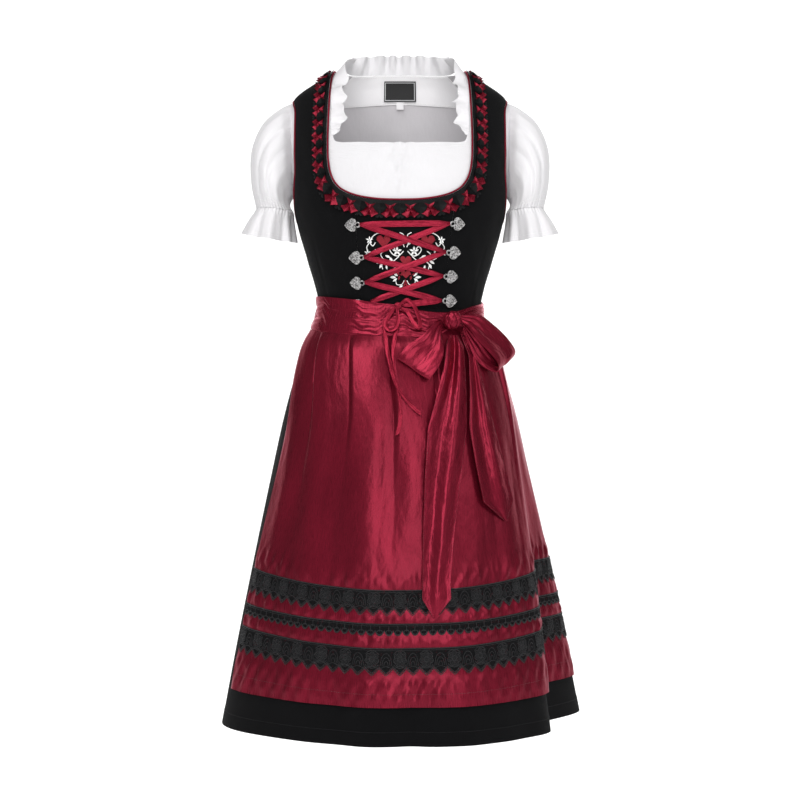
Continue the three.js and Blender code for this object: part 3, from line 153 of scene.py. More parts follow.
@dataclass(frozen=True)
class Form:
    """The dress's outer face, filled out: a squarish ring at each drop, with the skirt's folds."""

    rings: Chart = Chart(
        ("drop", "half", "front", "back", "power"),
        (
            (-24, 80, 24, 66, 2.4), (-15, 92, 32, 70, 2.4), (-5, 106, 44, 75, 2.4), (10, 127, 56, 80, 2.4),
            (38, 166, 74, 86, 2.4), (60, 174, 85, 91, 2.4), (120, 177, 105, 101, 2.4),
            (180, 174, 119, 103, 2.4), (240, 164, 125, 98, 2.4), (300, 147, 116, 92, 2.4),
            (345, 134, 105, 89, 2.4), (378, 129, 100, 89, 2.4), (413, 143, 110, 98, 2.35),
            (446, 157, 123, 111, 2.3), (528, 181, 140, 135, 2.2), (627, 203, 153, 151, 2.1),
            (776, 235, 166, 171, 2.05), (904, 261, 176, 190, 2), (1040, 287, 184, 206, 2)
        )
    )
    folds: Chart = Chart(
        ("angle", "reach", "width", "start", "ease"),
        (
            (-60, -19, 20, 430, 1), (-33, -6, 11, 420, 0.8), (-14, 3, 9, 420, 0.8), (5, -4, 8, 420, 0.8),
            (27, 4, 10, 420, 0.8), (62, -16, 16, 440, 1), (88, -58, 13, 410, 1.1), (110, 47, 11, 400, 0.8),
            (134, -18, 9, 400, 0.9), (155, 15, 9, 400, 0.9), (176, -17, 9, 400, 0.9),
            (197, 15, 9, 400, 0.9), (218, -17, 9, 400, 0.9), (240, 13, 9, 400, 0.9)
        )
    )

    @staticmethod
    def turned(angle: Points) -> Points:
        """Angles brought to between -180 and 180."""
        return (np.asarray(angle, float) + 180) % 360 - 180

    def reach(self, angle: Points, drop: Points) -> Points:
        """Distance of the outer face from the middle line.

        Args:
            angle: angles in degrees.
            drop: drops.

        Returns:
            The distances.
        """
        angle, drop = np.broadcast_arrays(np.asarray(angle, float), np.asarray(drop, float))
        around = np.abs(self.turned(angle))
        half, power = self.rings.read("half", drop), self.rings.read("power", drop)
        deep = np.where(around > 90, self.rings.read("back", drop), self.rings.read("front", drop))
        turn = np.radians(around)
        across, along = np.abs(np.sin(turn)) / half, np.abs(np.cos(turn)) / deep
        reach = (across**power + along**power) ** (-1 / power)
        for at, out, width, start, ease in self.folds.rows:
            growth = np.clip((drop - start) / (HEM_DROP - start), 0, None) ** ease
            reach = reach + out * growth * np.exp(-((self.turned(angle - at) / width) ** 2))
        return reach

    def face(self, angle: Points, drop: Points) -> Points:
        """Points on the outer face."""
        angle, drop = np.broadcast_arrays(np.asarray(angle, float), np.asarray(drop, float))
        reach, turn = self.reach(angle, drop), np.radians(angle)
        return np.stack([reach * np.sin(turn), -reach * np.cos(turn), -drop], axis=-1)

    def outward(self, angle: Points, drop: Points) -> Points:
        """The way the outer face looks."""
        angle, drop = np.broadcast_arrays(np.asarray(angle, float), np.asarray(drop, float))
        down = self.face(angle, drop + 1) - self.face(angle, drop - 1)
        around = self.face(angle + 0.5, drop) - self.face(angle - 0.5, drop)
        return unit(np.cross(down, around))

    def skin(self, angle: Points, drop: Points, lift: Points | float = 0.0) -> Points:
        """Points at a lift off the outer face."""
        lift = np.broadcast_to(np.asarray(lift, float), np.broadcast(angle, drop, lift).shape)
        return self.face(angle, drop) + self.outward(angle, drop) * lift[..., None]

    def angle_at(self, x: Points, drop: Points, back: bool = False) -> Points:
        """Angle at which the outer face stands a given distance to the side.

        Args:
            x: distances to the side.
            drop: drops.
            back: whether they are on the back.

        Returns:
            The angles.
        """
        x, drop = np.broadcast_arrays(np.asarray(x, float), np.asarray(drop, float))
        low, high = np.zeros(x.shape), np.full(x.shape, 90.0)
        side = np.where(x < 0, -1.0, 1.0)
        for _ in range(32):
            middle = (low + high) / 2
            angle = side * (180 - middle if back else middle)
            short = self.face(angle, drop)[..., 0] * side < np.abs(x)
            low, high = np.where(short, middle, low), np.where(short, high, middle)
        return side * (180 - low if back else low)

    def front(self, x: Points, drop: Points, lift: Points | float = 0.0) -> Points:
        """Points at a lift off the front that stand at the given places seen from the front.

        Args:
            x: distances to the side.
            drop: drops as seen.
            lift: distances off the face.

        Returns:
            The points.
        """
        x, drop, lift = np.broadcast_arrays(
            np.asarray(x, float), np.asarray(drop, float), np.asarray(lift, float)
        )
        beside, at = x.copy(), drop.copy()
        for _ in range(4):
            point = self.skin(self.angle_at(beside, at), at, lift)
            beside, at = beside - (point[..., 0] - x), at + (point[..., 2] + drop)
        return self.skin(self.angle_at(beside, at), at, lift)

    def front_axes(self, x: Points, drop: Points) -> tuple[Points, Points, Points]:
        """Directions across, up and out of the front at places seen from the front."""
        out = self.outward(self.angle_at(x, drop), drop)
        across = unit(np.cross(np.array([0.0, 0.0, 1.0]), out))
        return across, np.cross(out, across), out


@dataclass
class Cloth:
    """A sheet of cloth as a grid of points in millimetres; rows run down, columns run across."""

    points: Points
    looks: Points
    closed: bool = False

    def __post_init__(self) -> None:
        """Turns the columns so that the sheet's face looks the wanted way."""
        if float(np.sum(self.normals() * self.looks)) < 0:
            self.points = self.points[:, ::-1]

    def normals(self) -> Points:
        """The way the sheet faces at each point.

        Returns:
            A unit vector for each point.
        """
        if self.closed:
            wrapped = np.concatenate([self.points[:, -1:], self.points, self.points[:, :1]], axis=1)
            across = wrapped[:, 2:] - wrapped[:, :-2]
        else:
            across = np.gradient(self.points, axis=1)
        return unit(np.cross(np.gradient(self.points, axis=0), across)) * -1.0

    def lifted(self, lift: Points) -> "Cloth":
        """The sheet moved along its own face by a lift at each point."""
        moved = self.points + self.normals() * np.asarray(lift, float)[..., None]
        return Cloth(moved, self.normals(), self.closed)

    def measures(self) -> tuple[float, float, float]:
        """The sheet's flat width, length and area, in metres.

        Returns:
            Width, length and area.
        """
        ring = self.points
        if self.closed:
            ring = np.concatenate([ring, ring[:, :1]], axis=1)
        across = np.linalg.norm(np.diff(ring, axis=1), axis=-1).sum(axis=1)
        down = np.linalg.norm(np.diff(ring, axis=0), axis=-1).sum(axis=0)
        first, second = ring[1:, 1:] - ring[:-1, :-1], ring[1:, :-1] - ring[:-1, 1:]
        area = np.linalg.norm(np.cross(first, second), axis=-1).sum() / 2
        return float(across.max()) * MM, float(down.max()) * MM, float(area) * MM * MM

    def thread_places(self) -> tuple[Points, Points]:
        """Place of each column and each row along the cloth, in metres.

        Returns:
            The places across and down.
        """
        ring = self.points
        if self.closed:
            ring = np.concatenate([ring, ring[:, :1]], axis=1)
        middle = ring[ring.shape[0] // 2]
        across = np.r_[0, np.cumsum(np.linalg.norm(np.diff(middle, axis=0), axis=-1))]
        spine = ring[:, ring.shape[1] // 2]
        down = np.r_[0, np.cumsum(np.linalg.norm(np.diff(spine, axis=0), axis=-1))]
        return across * MM, down * MM

    def mesh(self, name: str, thickness: float) -> bpy.types.Mesh:
        """The sheet as a thin shell with rims at its free edges.

        Args:
            name: the mesh's name.
            thickness: the cloth's thickness in millimetres.

        Returns:
            A mesh in metres, with a UV map along the cloth's threads.
        """
        rows, columns = self.points.shape[:2]
        normals = self.normals() * (thickness / 2)
        corners = np.concatenate([self.points + normals, self.points - normals]).reshape(-1, 3) * MM
        across, down = self.thread_places()
        spans = columns if self.closed else columns - 1
        r, c = np.meshgrid(np.arange(rows - 1), np.arange(spans), indexing="ij")
        cells = [(r, c), (r, c + 1), (r + 1, c + 1), (r + 1, c)]
        place = [a * columns + b % columns for a, b in cells]
        thread = [np.stack([across[b], -down[a]], -1) for a, b in cells]
        count = rows * columns
        faces = [np.stack(place[::-1], -1).reshape(-1, 4)]
        threads = [np.stack(thread[::-1], -2).reshape(-1, 4, 2)]
        faces.append(np.stack(place, -1).reshape(-1, 4) + count)
        threads.append(np.stack(thread, -2).reshape(-1, 4, 2))
        edges = []
        for row, forwards in ((0, True), (rows - 1, False)):
            near = np.stack([np.full(spans, row), np.arange(spans)], -1)
            far = near + [0, 1]
            edges.append((near, far) if forwards else (far, near))
        if not self.closed:
            for column, forwards in ((0, False), (columns - 1, True)):
                near = np.stack([np.arange(rows - 1), np.full(rows - 1, column)], -1)
                far = near + [1, 0]
                edges.append((near, far) if forwards else (far, near))
        for near, far in edges:
            start, end = (side[:, 0] * columns + side[:, 1] % columns for side in (near, far))
            faces.append(np.stack([start, end, end + count, start + count], -1))
            a = np.stack([across[near[:, 1]], -down[near[:, 0]]], -1)
            b = np.stack([across[far[:, 1]], -down[far[:, 0]]], -1)
            threads.append(np.stack([a, b, b, a], -2))
        made = bpy.data.meshes.new(name)
        made.from_pydata(corners, [], np.concatenate(faces))
        layer = made.uv_layers.new(name="thread")
        layer.data.foreach_set("uv", np.concatenate(threads).astype(np.float32).ravel())
        made.shade_smooth()
        made.set_sharp_from_angle(angle=math.radians(60))
        return made


# Node trees


class Draft:
    """Lays out a node tree, each node with its settings and inputs in one call."""

    def __init__(self, tree: bpy.types.NodeTree) -> None:
        """Starts from an empty tree."""
        self.tree = tree
        tree.nodes.clear()

    def feed(self, sockets: dict[bpy.types.NodeSocket, object]) -> None:
        """Sets or wires sockets, each from its value or output."""
        for socket, value in sockets.items():
            if isinstance(value, bpy.types.NodeSocket):
                self.tree.links.new(value, socket)
            else:
                socket.default_value = value

    def add(self, kind: str, inputs: dict | None = None, **settings: object) -> bpy.types.Node:
        """Adds a node.

        Args:
            kind: the node's type.
            inputs: values or output sockets by the name or number of the input.
            settings: the node's own settings.

        Returns:
            The new node.
        """
        node = self.tree.nodes.new(kind)
        for name, value in settings.items():
            setattr(node, name, value)
        self.feed({node.inputs[key]: value for key, value in (inputs or {}).items()})
        return node


class Painter(Draft):
    """A material's draft, with its shader and the place that its patterns follow."""

    def __init__(self, tree: bpy.types.NodeTree, follows: Coordinates) -> None:
        """Makes the shader and its output."""
        super().__init__(tree)
        self.shader = self.add("ShaderNodeBsdfPrincipled")
        self.add("ShaderNodeOutputMaterial", {"Surface": self.shader.outputs[0]})
        if follows is Coordinates.THREAD:
            self.place = self.add("ShaderNodeUVMap", uv_map="thread").outputs[0]
        else:
            self.place = self.add("ShaderNodeTexCoord").outputs["Object"]

    def paint(self, inputs: dict[str, object]) -> None:
        """Sets or wires inputs of the shader by their names."""
        self.feed({self.shader.inputs[name]: value for name, value in inputs.items()})

    def maths(self, operation: str, first: object, second: object = 0.0) -> object:
        """Output of a maths node."""
        return self.add("ShaderNodeMath", {0: first, 1: second}, operation=operation).outputs[0]

    def weighed(self, first: object, share: float, second: object) -> object:
        """Sum of two patterns, the first with its share and the second with the rest.

        Args:
            first: the first pattern.
            share: its share.
            second: the other pattern.

        Returns:
            The output socket.
        """
        shares = [self.maths("MULTIPLY", first, share), self.maths("MULTIPLY", second, 1 - share)]
        return self.maths("ADD", *shares)

    def eased(self, value: object, start: float, end: float, low: float = 0.0, high: float = 1.0) -> object:
        """Output of a map range node."""
        inputs = {"Value": value, "From Min": start, "From Max": end, "To Min": low, "To Max": high}
        return self.add("ShaderNodeMapRange", inputs).outputs["Result"]

    def blended(self, share: object, first: object, second: object) -> object:
        """Output of a colour mix node."""
        node = self.add("ShaderNodeMix", data_type="RGBA")
        self.feed({node.inputs[0]: share, node.inputs[6]: first, node.inputs[7]: second})
        return node.outputs[2]

    def noise(self, per_metre: Sequence[float], detail: float = 2.0) -> object:
        """Noise whose grains are stretched differently along each direction."""
        scaled = self.add("ShaderNodeMapping", {"Vector": self.place, "Scale": per_metre})
        inputs = {"Vector": scaled.outputs[0], "Scale": 1.0, "Detail": detail}
        return self.add("ShaderNodeTexNoise", inputs).outputs[0]

    def bands(self, pitch: float, direction: str) -> object:
        """Waves with a pitch in metres along one direction."""
        inputs = {"Vector": self.place, "Scale": 0.31416 / pitch, "Distortion": 0.0}
        return self.add("ShaderNodeTexWave", inputs, bands_direction=direction).outputs["Fac"]

    def bump(self, height: object, strength: float, distance: float, under: object = None) -> object:
        """Output of a bump node, on top of another one where given."""
        inputs = {"Height": height, "Strength": strength, "Distance": distance}
        return self.add(
            "ShaderNodeBump", {**inputs, **({} if under is None else {"Normal": under})}
        ).outputs[0]


Colour = tuple[float, float, float]


@dataclass(frozen=True)
class Finish:
    """A surface finish; a kind of cloth, metal or thread overrides how its nodes are laid out."""

    name: str
    slot: Slot
    colour: Colour
    follows: Coordinates = Coordinates.THREAD

    def material(self) -> bpy.types.Material:
        """The finish's material, made once.

        Returns:
            The material.
        """
        found = bpy.data.materials.get(self.name)
        if found:
            return found
        made = bpy.data.materials.new(self.name)
        made.use_nodes = True
        self.lay_out(Painter(made.node_tree, self.follows))
        made.diffuse_color = (*self.colour, 1)
        return made

    def shade(self, share: float) -> tuple[float, float, float, float]:
        """The finish's colour, darker or lighter."""
        return (*(min(part * share, 1.0) for part in self.colour), 1.0)

    def lay_out(self, draft: Painter) -> None:
        """Wires the finish's nodes to its shader.

        Args:
            draft: draws its nodes.
        """
        raise NotImplementedError


@dataclass(frozen=True)
class Cotton(Finish):
    """Woven cotton: two sets of threads over each other, a soft nap and slight unevenness."""

    weave: float = 0.0009
    relief: float = 0.35
    crinkle: float = 0.0
    rough: float = 0.86
    sheen: float = 0.2
    uneven: float = 0.12
    shine: float = 0.25

    def lay_out(self, draft: Painter) -> None:
        """Wires warp, weft, crinkle and unevenness.

        Args:
            draft: draws its nodes.
        """
        threads = draft.maths("MULTIPLY", draft.bands(self.weave, "X"), draft.bands(self.weave * 1.15, "Y"))
        soft, slub = draft.noise((28, 28, 28), 3), draft.noise((900, 120, 400))
        spread = draft.eased(draft.weighed(soft, 0.7, slub), 0.3, 0.7)
        normal = draft.bump(threads, self.relief, 0.0002)
        if self.crinkle:
            normal = draft.bump(draft.noise((190, 70, 120), 3), self.crinkle, 0.0016, normal)
        draft.paint(
            {
                "Base Color": draft.blended(
                    spread, self.shade(1 - self.uneven), self.shade(1 + self.uneven)
                ),
                "Roughness": draft.eased(soft, 0.2, 0.8, self.rough - 0.06, self.rough + 0.05),
                "Normal": normal, "Sheen Weight": self.sheen, "Sheen Roughness": 0.6,
                "Specular IOR Level": self.shine
            }
        )


@dataclass(frozen=True)
class Satin(Finish):
    """Satin: long floating threads that catch the light in streaks, and faint creases."""

    rough: float = 0.29
    lustre: float = 0.62
    streak: float = 0.5
    crease: float = 0.3
    grain: tuple[float, float, float] = (60.0, 16.0, 38.0)

    def lay_out(self, draft: Painter) -> None:
        """Wires streaks, painted patches and streaks of highlight and shade in the colour, and creases.

        Args:
            draft: draws its nodes.
        """
        floats, painted_light_and_shade = draft.noise((1500, 60, 300)), draft.noise((18, 9, 14), 3)
        # Painted highlight and shade: the colour goes lighter and darker in broad patches and along the
        # floats' streaks.
        share = draft.eased(draft.weighed(painted_light_and_shade, 0.6, floats), 0.35, 0.65)
        streaks = draft.bump(floats, self.streak, 0.00012)
        draft.paint(
            {
                "Base Color": draft.blended(share, self.shade(0.8), self.shade(1.18)),
                "Roughness": draft.eased(floats, 0.3, 0.7, self.rough - 0.05, self.rough + 0.06),
                "Normal": draft.bump(draft.noise(self.grain, 3), self.crease, 0.004, streaks),
                "Metallic": self.lustre, "Specular IOR Level": 0.45, "Specular Tint": (1.0, 0.42, 0.5, 1.0),
                "Sheen Weight": 0.02, "Sheen Roughness": 0.4, "Sheen Tint": (1.0, 0.5, 0.58, 1.0)
            }
        )


@dataclass(frozen=True)
class Thread(Finish):
    """Twisted thread, for embroidery, cords of lace and stitches."""

    twist: float = 0.0009
    rough: float = 0.55
    sheen: float = 0.3

    def lay_out(self, draft: Painter) -> None:
        """Wires the thread's twist as ridges, with painted shade in its grooves and painted highlight on
        its ridges, and small random changes of tone.

        Args:
            draft: draws its nodes.
        """
        ridges, uneven = draft.bands(self.twist, "DIAGONAL"), draft.noise((420, 420, 420))
        # Painted shade and highlight: half of the colour follows the twist's ridges, darker where they are
        # low; the other half is random tone.
        share = draft.eased(draft.weighed(ridges, 0.5, uneven), 0.2, 0.8)
        draft.paint(
            {
                "Base Color": draft.blended(share, self.shade(0.78), self.shade(1.15)),
                "Normal": draft.bump(ridges, 0.5, 0.0002),
                "Roughness": draft.eased(uneven, 0.2, 0.8, self.rough - 0.08, self.rough + 0.08),
                "Sheen Weight": self.sheen, "Specular IOR Level": 0.2
            }
        )


@dataclass(frozen=True)
class Guipure(Finish):
    """The ground of the lace: dense knotted thread with a glimmer of the satin in its pores."""

    pores: float = 0.0021
    behind: Colour = (0.10, 0.006, 0.014)

    def lay_out(self, draft: Painter) -> None:
        """Wires the knots, with painted shade where their relief is low, and the pores between them.

        Args:
            draft: draws its nodes.
        """
        inputs = {"Vector": draft.place, "Scale": 1 / self.pores}
        cells = draft.add("ShaderNodeTexVoronoi", inputs).outputs["Distance"]
        knots = draft.add("ShaderNodeTexVoronoi", inputs, feature="F2").outputs["Distance"]
        gap, patchy = draft.maths("SUBTRACT", knots, cells), draft.noise((160, 160, 160))
        pore = draft.maths(
            "MULTIPLY", draft.eased(cells, 0.10, 0.24, 1.0, 0.0), draft.eased(patchy, 0.45, 0.6)
        )
        # Painted shade and highlight: the ground is darker where its knot relief is low and lighter where
        # it is high.
        black = draft.blended(draft.eased(gap, 0.0, 0.3), self.shade(0.5), self.shade(1.9))
        draft.paint(
            {
                "Base Color": draft.blended(pore, black, (*self.behind, 1.0)),
                "Normal": draft.bump(gap, 0.8, 0.0006),
                "Roughness": draft.eased(patchy, 0.3, 0.7, 0.7, 0.9), "Specular IOR Level": 0.08
            }
        )


@dataclass(frozen=True)
class CastSilver(Finish):
    """Cast filigree with a dark patina in its low places and bright worn ridges."""

    rough: float = 0.3

    def lay_out(self, draft: Painter) -> None:
        """Wires patina, fine pitting and polish.

        Args:
            draft: draws its nodes.
        """
        patina, grain = draft.noise((420, 420, 420), 4), draft.noise((1600, 1600, 1600))
        dark = (0.09, 0.088, 0.086, 1)
        draft.paint(
            {
                "Base Color": draft.blended(draft.eased(patina, 0.38, 0.6), dark, self.shade(1.0)),
                "Roughness": draft.eased(patina, 0.35, 0.65, self.rough + 0.25, self.rough),
                "Normal": draft.bump(grain, 0.35, 0.0002), "Metallic": 1.0
            }
        )


@dataclass(frozen=True)
class WovenLabel(Finish):
    """A plain woven label with a thin border line inside its edge."""

    width: float = 0.05
    height: float = 0.03
    line: Colour = (0.62, 0.62, 0.63)

    def lay_out(self, draft: Painter) -> None:
        """Wires the ground, the border line and the label's fine ribs, with painted shade between the ribs.

        Args:
            draft: draws its nodes.
        """
        split = draft.add("ShaderNodeSeparateXYZ", {0: draft.place}).outputs
        inset = []
        for along, size in ((split[0], self.width), (draft.maths("MULTIPLY", split[1], -1.0), self.height)):
            centred = draft.maths("ABSOLUTE", draft.maths("SUBTRACT", along, size / 2))
            inset.append(draft.maths("SUBTRACT", size / 2, centred))
        edge = draft.maths("MINIMUM", *inset)
        border = draft.maths(
            "MULTIPLY", draft.eased(edge, 0.0018, 0.0021), draft.eased(edge, 0.0028, 0.0031, 1.0, 0.0)
        )
        ribs = draft.bands(0.0007, "Y")
        # Painted shade: the ground is darker between the ribs, where their relief is low.
        ground = draft.blended(ribs, self.shade(0.7), self.shade(1.4))
        colour = draft.blended(border, ground, (*self.line, 1.0))
        draft.paint({"Base Color": colour, "Normal": draft.bump(ribs, 0.4, 0.0002), "Roughness": 0.6})


@dataclass(frozen=True)
class StudioPaper(Finish):
    """The pale seamless floor, lit a little from within as a white studio is."""

    glow: float = 0.34

    def lay_out(self, draft: Painter) -> None:
        """Wires a very faint tooth.

        Args:
            draft: draws its nodes.
        """
        draft.paint(
            {
                "Base Color": draft.blended(
                    draft.noise((40, 40, 40), 3), self.shade(0.985), self.shade(1.0)
                ),
                "Roughness": 0.9, "Specular IOR Level": 0.1, "Emission Color": (1.0, 1.0, 1.0, 1.0),
                "Emission Strength": self.glow
            }
        )


@dataclass(frozen=True)
class Wardrobe:
    """Every finish of the set."""

    cotton: Finish = Cotton(
        "black_cotton_cloth", Slot.COTTON, (0.0024, 0.0024, 0.0028), relief=0.5, uneven=0.2, sheen=0.02,
        shine=0.06
    )
    satin: Finish = Satin(
        "burgundy_satin_cloth", Slot.SATIN, (0.140, 0.0052, 0.0160), crease=0.5, grain=(34.0, 17.0, 30.0)
    )
    sash: Finish = Satin(
        "burgundy_sash_satin", Slot.SATIN, (0.160, 0.0060, 0.0185), crease=1.0, rough=0.24,
        grain=(8.0, 55.0, 40.0)
    )
    bow: Finish = Satin(
        "burgundy_bow_satin", Slot.SATIN, (0.160, 0.0060, 0.0185), crease=0.9, rough=0.24,
        grain=(38.0, 16.0, 34.0)
    )
    ribbon: Finish = Satin(
        "lacing_ribbon", Slot.LACING, (0.172, 0.0058, 0.0180), crease=0.5, rough=0.27,
        grain=(150.0, 22.0, 50.0)
    )
    cord_satin: Finish = Satin(
        "piping_satin", Slot.SATIN, (0.15, 0.006, 0.017), Coordinates.PLACE, rough=0.4
    )
    trim_satin: Finish = Satin(
        "trim_satin", Slot.SATIN, (0.125, 0.0040, 0.0120), Coordinates.PLACE, rough=0.27
    )
    trim_black: Finish = Cotton(
        "trim_black_ribbon", Slot.COTTON, (0.0020, 0.0020, 0.0023), Coordinates.PLACE, rough=0.45,
        sheen=0.0, shine=0.12
    )
    white: Finish = Cotton(
        "white_cotton_cloth", Slot.WHITE, (0.655, 0.645, 0.66), relief=0.3, crinkle=0.45, uneven=0.02
    )
    # Painted shade: the same white cotton, made darker for the blouse front.
    front_white: Finish = Cotton(
        "white_cotton_front", Slot.WHITE, (0.615, 0.607, 0.62), relief=0.3, crinkle=0.45, uneven=0.02
    )
    # Painted shade: the same white cotton, made darker for the inside of the blouse's back seen through the
    # neck.
    inside: Finish = Cotton(
        "white_cotton_wrong_side", Slot.WHITE, (0.60, 0.58, 0.60), relief=0.2, crinkle=0.3, uneven=0.03
    )
    # Painted light, partly real: the same white cotton made brighter for the neck band and size tag inside
    # the neck; the band's double layer is whiter, and the rest stands in for light that does not reach
    # there.
    band: Finish = Cotton(
        "white_cotton_band", Slot.WHITE, (0.90, 0.885, 0.90), relief=0.2, crinkle=0.2, uneven=0.02
    )
    lace: Finish = Guipure("guipure_ground", Slot.LACE, (0.0032, 0.0032, 0.0036))
    # Painted highlight: the cords take a lighter black than the ground, for the light on their raised tops.
    lace_cord: Finish = Thread(
        "guipure_cord", Slot.LACE, (0.014, 0.014, 0.0155), Coordinates.PLACE, sheen=0.1
    )
    patina: Finish = CastSilver(
        "silver_patina", Slot.SILVER, (0.03, 0.03, 0.032), Coordinates.PLACE, rough=0.5
    )
    silver: Finish = CastSilver("cast_silver", Slot.SILVER, (0.62, 0.61, 0.61), Coordinates.PLACE)
    white_thread: Finish = Thread("white_thread", Slot.WHITE, (0.80, 0.80, 0.79), Coordinates.PLACE)
    red_thread: Finish = Thread("red_thread", Slot.SATIN, (0.24, 0.008, 0.02), Coordinates.PLACE, sheen=0.1)
    dark_thread: Finish = Thread("burgundy_thread", Slot.SATIN, (0.10, 0.004, 0.012), Coordinates.PLACE)
    black_thread: Finish = Thread(
        "black_thread", Slot.COTTON, (0.01, 0.01, 0.011), Coordinates.PLACE, sheen=0.05
    )
    label: Finish = WovenLabel("plain_label", Slot.LABEL, (0.006, 0.006, 0.0065))


class GeometryTree:
    """A geometry node tree with named inputs that works on a carrier mesh."""

    def __init__(self, name: str, inputs: dict[str, tuple[str, object]]) -> None:
        """Makes the tree and its inputs.

        Args:
            name: the tree's name.
            inputs: socket type and default of each input.
        """
        self.group = bpy.data.node_groups.new(name, "GeometryNodeTree")
        self.identifiers: dict[str, str] = {}
        face = self.group.interface
        face.new_socket(name="Carrier", in_out="INPUT", socket_type="NodeSocketGeometry")
        for label, (kind, default) in {**inputs, "Material": ("NodeSocketMaterial", None)}.items():
            socket = face.new_socket(name=label, in_out="INPUT", socket_type=kind)
            if default is not None:
                socket.default_value = default
            self.identifiers[label] = socket.identifier
        face.new_socket(name="Result", in_out="OUTPUT", socket_type="NodeSocketGeometry")
        self.draft = Draft(self.group)
        self.given = self.draft.add("NodeGroupInput").outputs

    def attribute(self, name: str, kind: str) -> bpy.types.NodeSocket:
        """A named attribute of the carrier."""
        return self.draft.add("GeometryNodeInputNamedAttribute", {"Name": name}, data_type=kind).outputs[0]

    def close(self, geometry: bpy.types.NodeSocket) -> None:
        """Realizes the geometry, gives it its material and makes it the result."""
        real = self.draft.add("GeometryNodeRealizeInstances", {0: geometry})
        inputs = {"Geometry": real.outputs[0], "Material": self.given["Material"]}
        painted = self.draft.add("GeometryNodeSetMaterial", inputs)
        self.draft.add("NodeGroupOutput", {0: painted.outputs[0]})

    def run(self, carrier: bpy.types.Mesh, **values: object) -> bpy.types.Mesh:
        """Runs the tree once and keeps its result as a plain mesh.

        Args:
            carrier: mesh that holds the places or paths.
            values: the tree's inputs by name.

        Returns:
            The finished mesh.
        """
        holder = bpy.data.objects.new(carrier.name, carrier)
        bpy.context.scene.collection.objects.link(holder)
        modifier = holder.modifiers.new("work", "NODES")
        modifier.node_group = self.group
        for label, value in values.items():
            modifier[self.identifiers[label]] = value
        graph = bpy.context.evaluated_depsgraph_get()
        made = bpy.data.meshes.new_from_object(holder.evaluated_get(graph))
        holder.modifiers.remove(modifier)
        bpy.data.objects.remove(holder)
        return made


def units_tree() -> GeometryTree:
    """Tree that puts a unit on every point of the carrier, turned and sized by its attributes.

    Returns:
        The tree.
    """
    inputs = {
        "Unit": ("NodeSocketObject", None), "Seed": ("NodeSocketInt", 7), "Jitter": ("NodeSocketFloat", 0.0)
    }
    tree = GeometryTree("placed_units", inputs)
    draft, given = tree.draft, tree.given
    limits = {"Min": (-1.0, -1.0, -1.0), "Max": (1.0, 1.0, 1.0), "Seed": given["Seed"]}
    chance = draft.add("FunctionNodeRandomValue", limits, data_type="FLOAT_VECTOR").outputs[0]
    wobble = draft.add("ShaderNodeVectorMath", {0: chance, "Scale": given["Jitter"]}, operation="SCALE")
    turn = {0: tree.attribute("turn", "FLOAT_VECTOR"), 1: wobble.outputs[0]}
    turned = draft.add("ShaderNodeVectorMath", turn, operation="ADD")
    rotation = draft.add("FunctionNodeEulerToRotation", {0: turned.outputs[0]})
    unit_made = draft.add("GeometryNodeObjectInfo", {"Object": given["Unit"]})
    inputs = {
        "Points": given["Carrier"], "Instance": unit_made.outputs["Geometry"],
        "Rotation": rotation.outputs[0], "Scale": tree.attribute("size", "FLOAT_VECTOR")
    }
    tree.close(draft.add("GeometryNodeInstanceOnPoints", inputs).outputs[0])
    return tree


def threads_tree() -> GeometryTree:
    """Tree that lays a round thread along the carrier's lines, as thick as its attribute says.

    Returns:
        The tree.
    """
    tree = GeometryTree("laid_threads", {"Sides": ("NodeSocketInt", 8)})
    draft, given = tree.draft, tree.given
    curve = draft.add("GeometryNodeMeshToCurve", {"Mesh": given["Carrier"]})
    profile = draft.add("GeometryNodeCurvePrimitiveCircle", {"Resolution": given["Sides"], "Radius": 1.0})
    inputs = {
        "Curve": curve.outputs[0], "Profile Curve": profile.outputs[0],
        "Scale": tree.attribute("thick", "FLOAT"), "Fill Caps": True
    }
    tube = draft.add("GeometryNodeCurveToMesh", inputs)
    tree.close(draft.add("GeometryNodeSetShadeSmooth", {"Geometry": tube.outputs[0]}).outputs[0])
    return tree


def stitches_tree() -> GeometryTree:
    """Tree that sews even stitches along the carrier's lines.

    Returns:
        The tree.
    """
    inputs = {
        "Pitch": ("NodeSocketFloat", 0.004), "Length": ("NodeSocketFloat", 0.003),
        "Width": ("NodeSocketFloat", 0.0006), "Seed": ("NodeSocketInt", 3)
    }
    tree = GeometryTree("sewn_stitches", inputs)
    draft, given = tree.draft, tree.given
    curve = draft.add("GeometryNodeMeshToCurve", {"Mesh": given["Carrier"]})
    inputs = {"Curve": curve.outputs[0], "Length": given["Pitch"]}
    even = draft.add("GeometryNodeResampleCurve", inputs, mode="LENGTH")
    tangent = draft.add("GeometryNodeInputTangent")
    rotation = draft.add("FunctionNodeAlignRotationToVector", {"Vector": tangent.outputs[0]}, axis="X")
    grain = draft.add("GeometryNodeMeshUVSphere", {"Segments": 6, "Rings": 4, "Radius": 1.0})
    smooth = draft.add("GeometryNodeSetShadeSmooth", {"Geometry": grain.outputs[0]})
    limits = {"Min": (0.42, 0.45, 0.45), "Max": (0.54, 0.55, 0.55), "Seed": given["Seed"]}
    uneven = draft.add("FunctionNodeRandomValue", limits, data_type="FLOAT_VECTOR").outputs[0]
    sides = {"X": given["Length"], "Y": given["Width"], "Z": given["Width"]}
    sizes = draft.add("ShaderNodeCombineXYZ", sides)
    scale = draft.add("ShaderNodeVectorMath", {0: sizes.outputs[0], 1: uneven}, operation="MULTIPLY")
    inputs = {
        "Points": even.outputs[0], "Instance": smooth.outputs[0], "Rotation": rotation.outputs[0],
        "Scale": scale.outputs[0]
    }
    tree.close(draft.add("GeometryNodeInstanceOnPoints", inputs).outputs[0])
    return tree


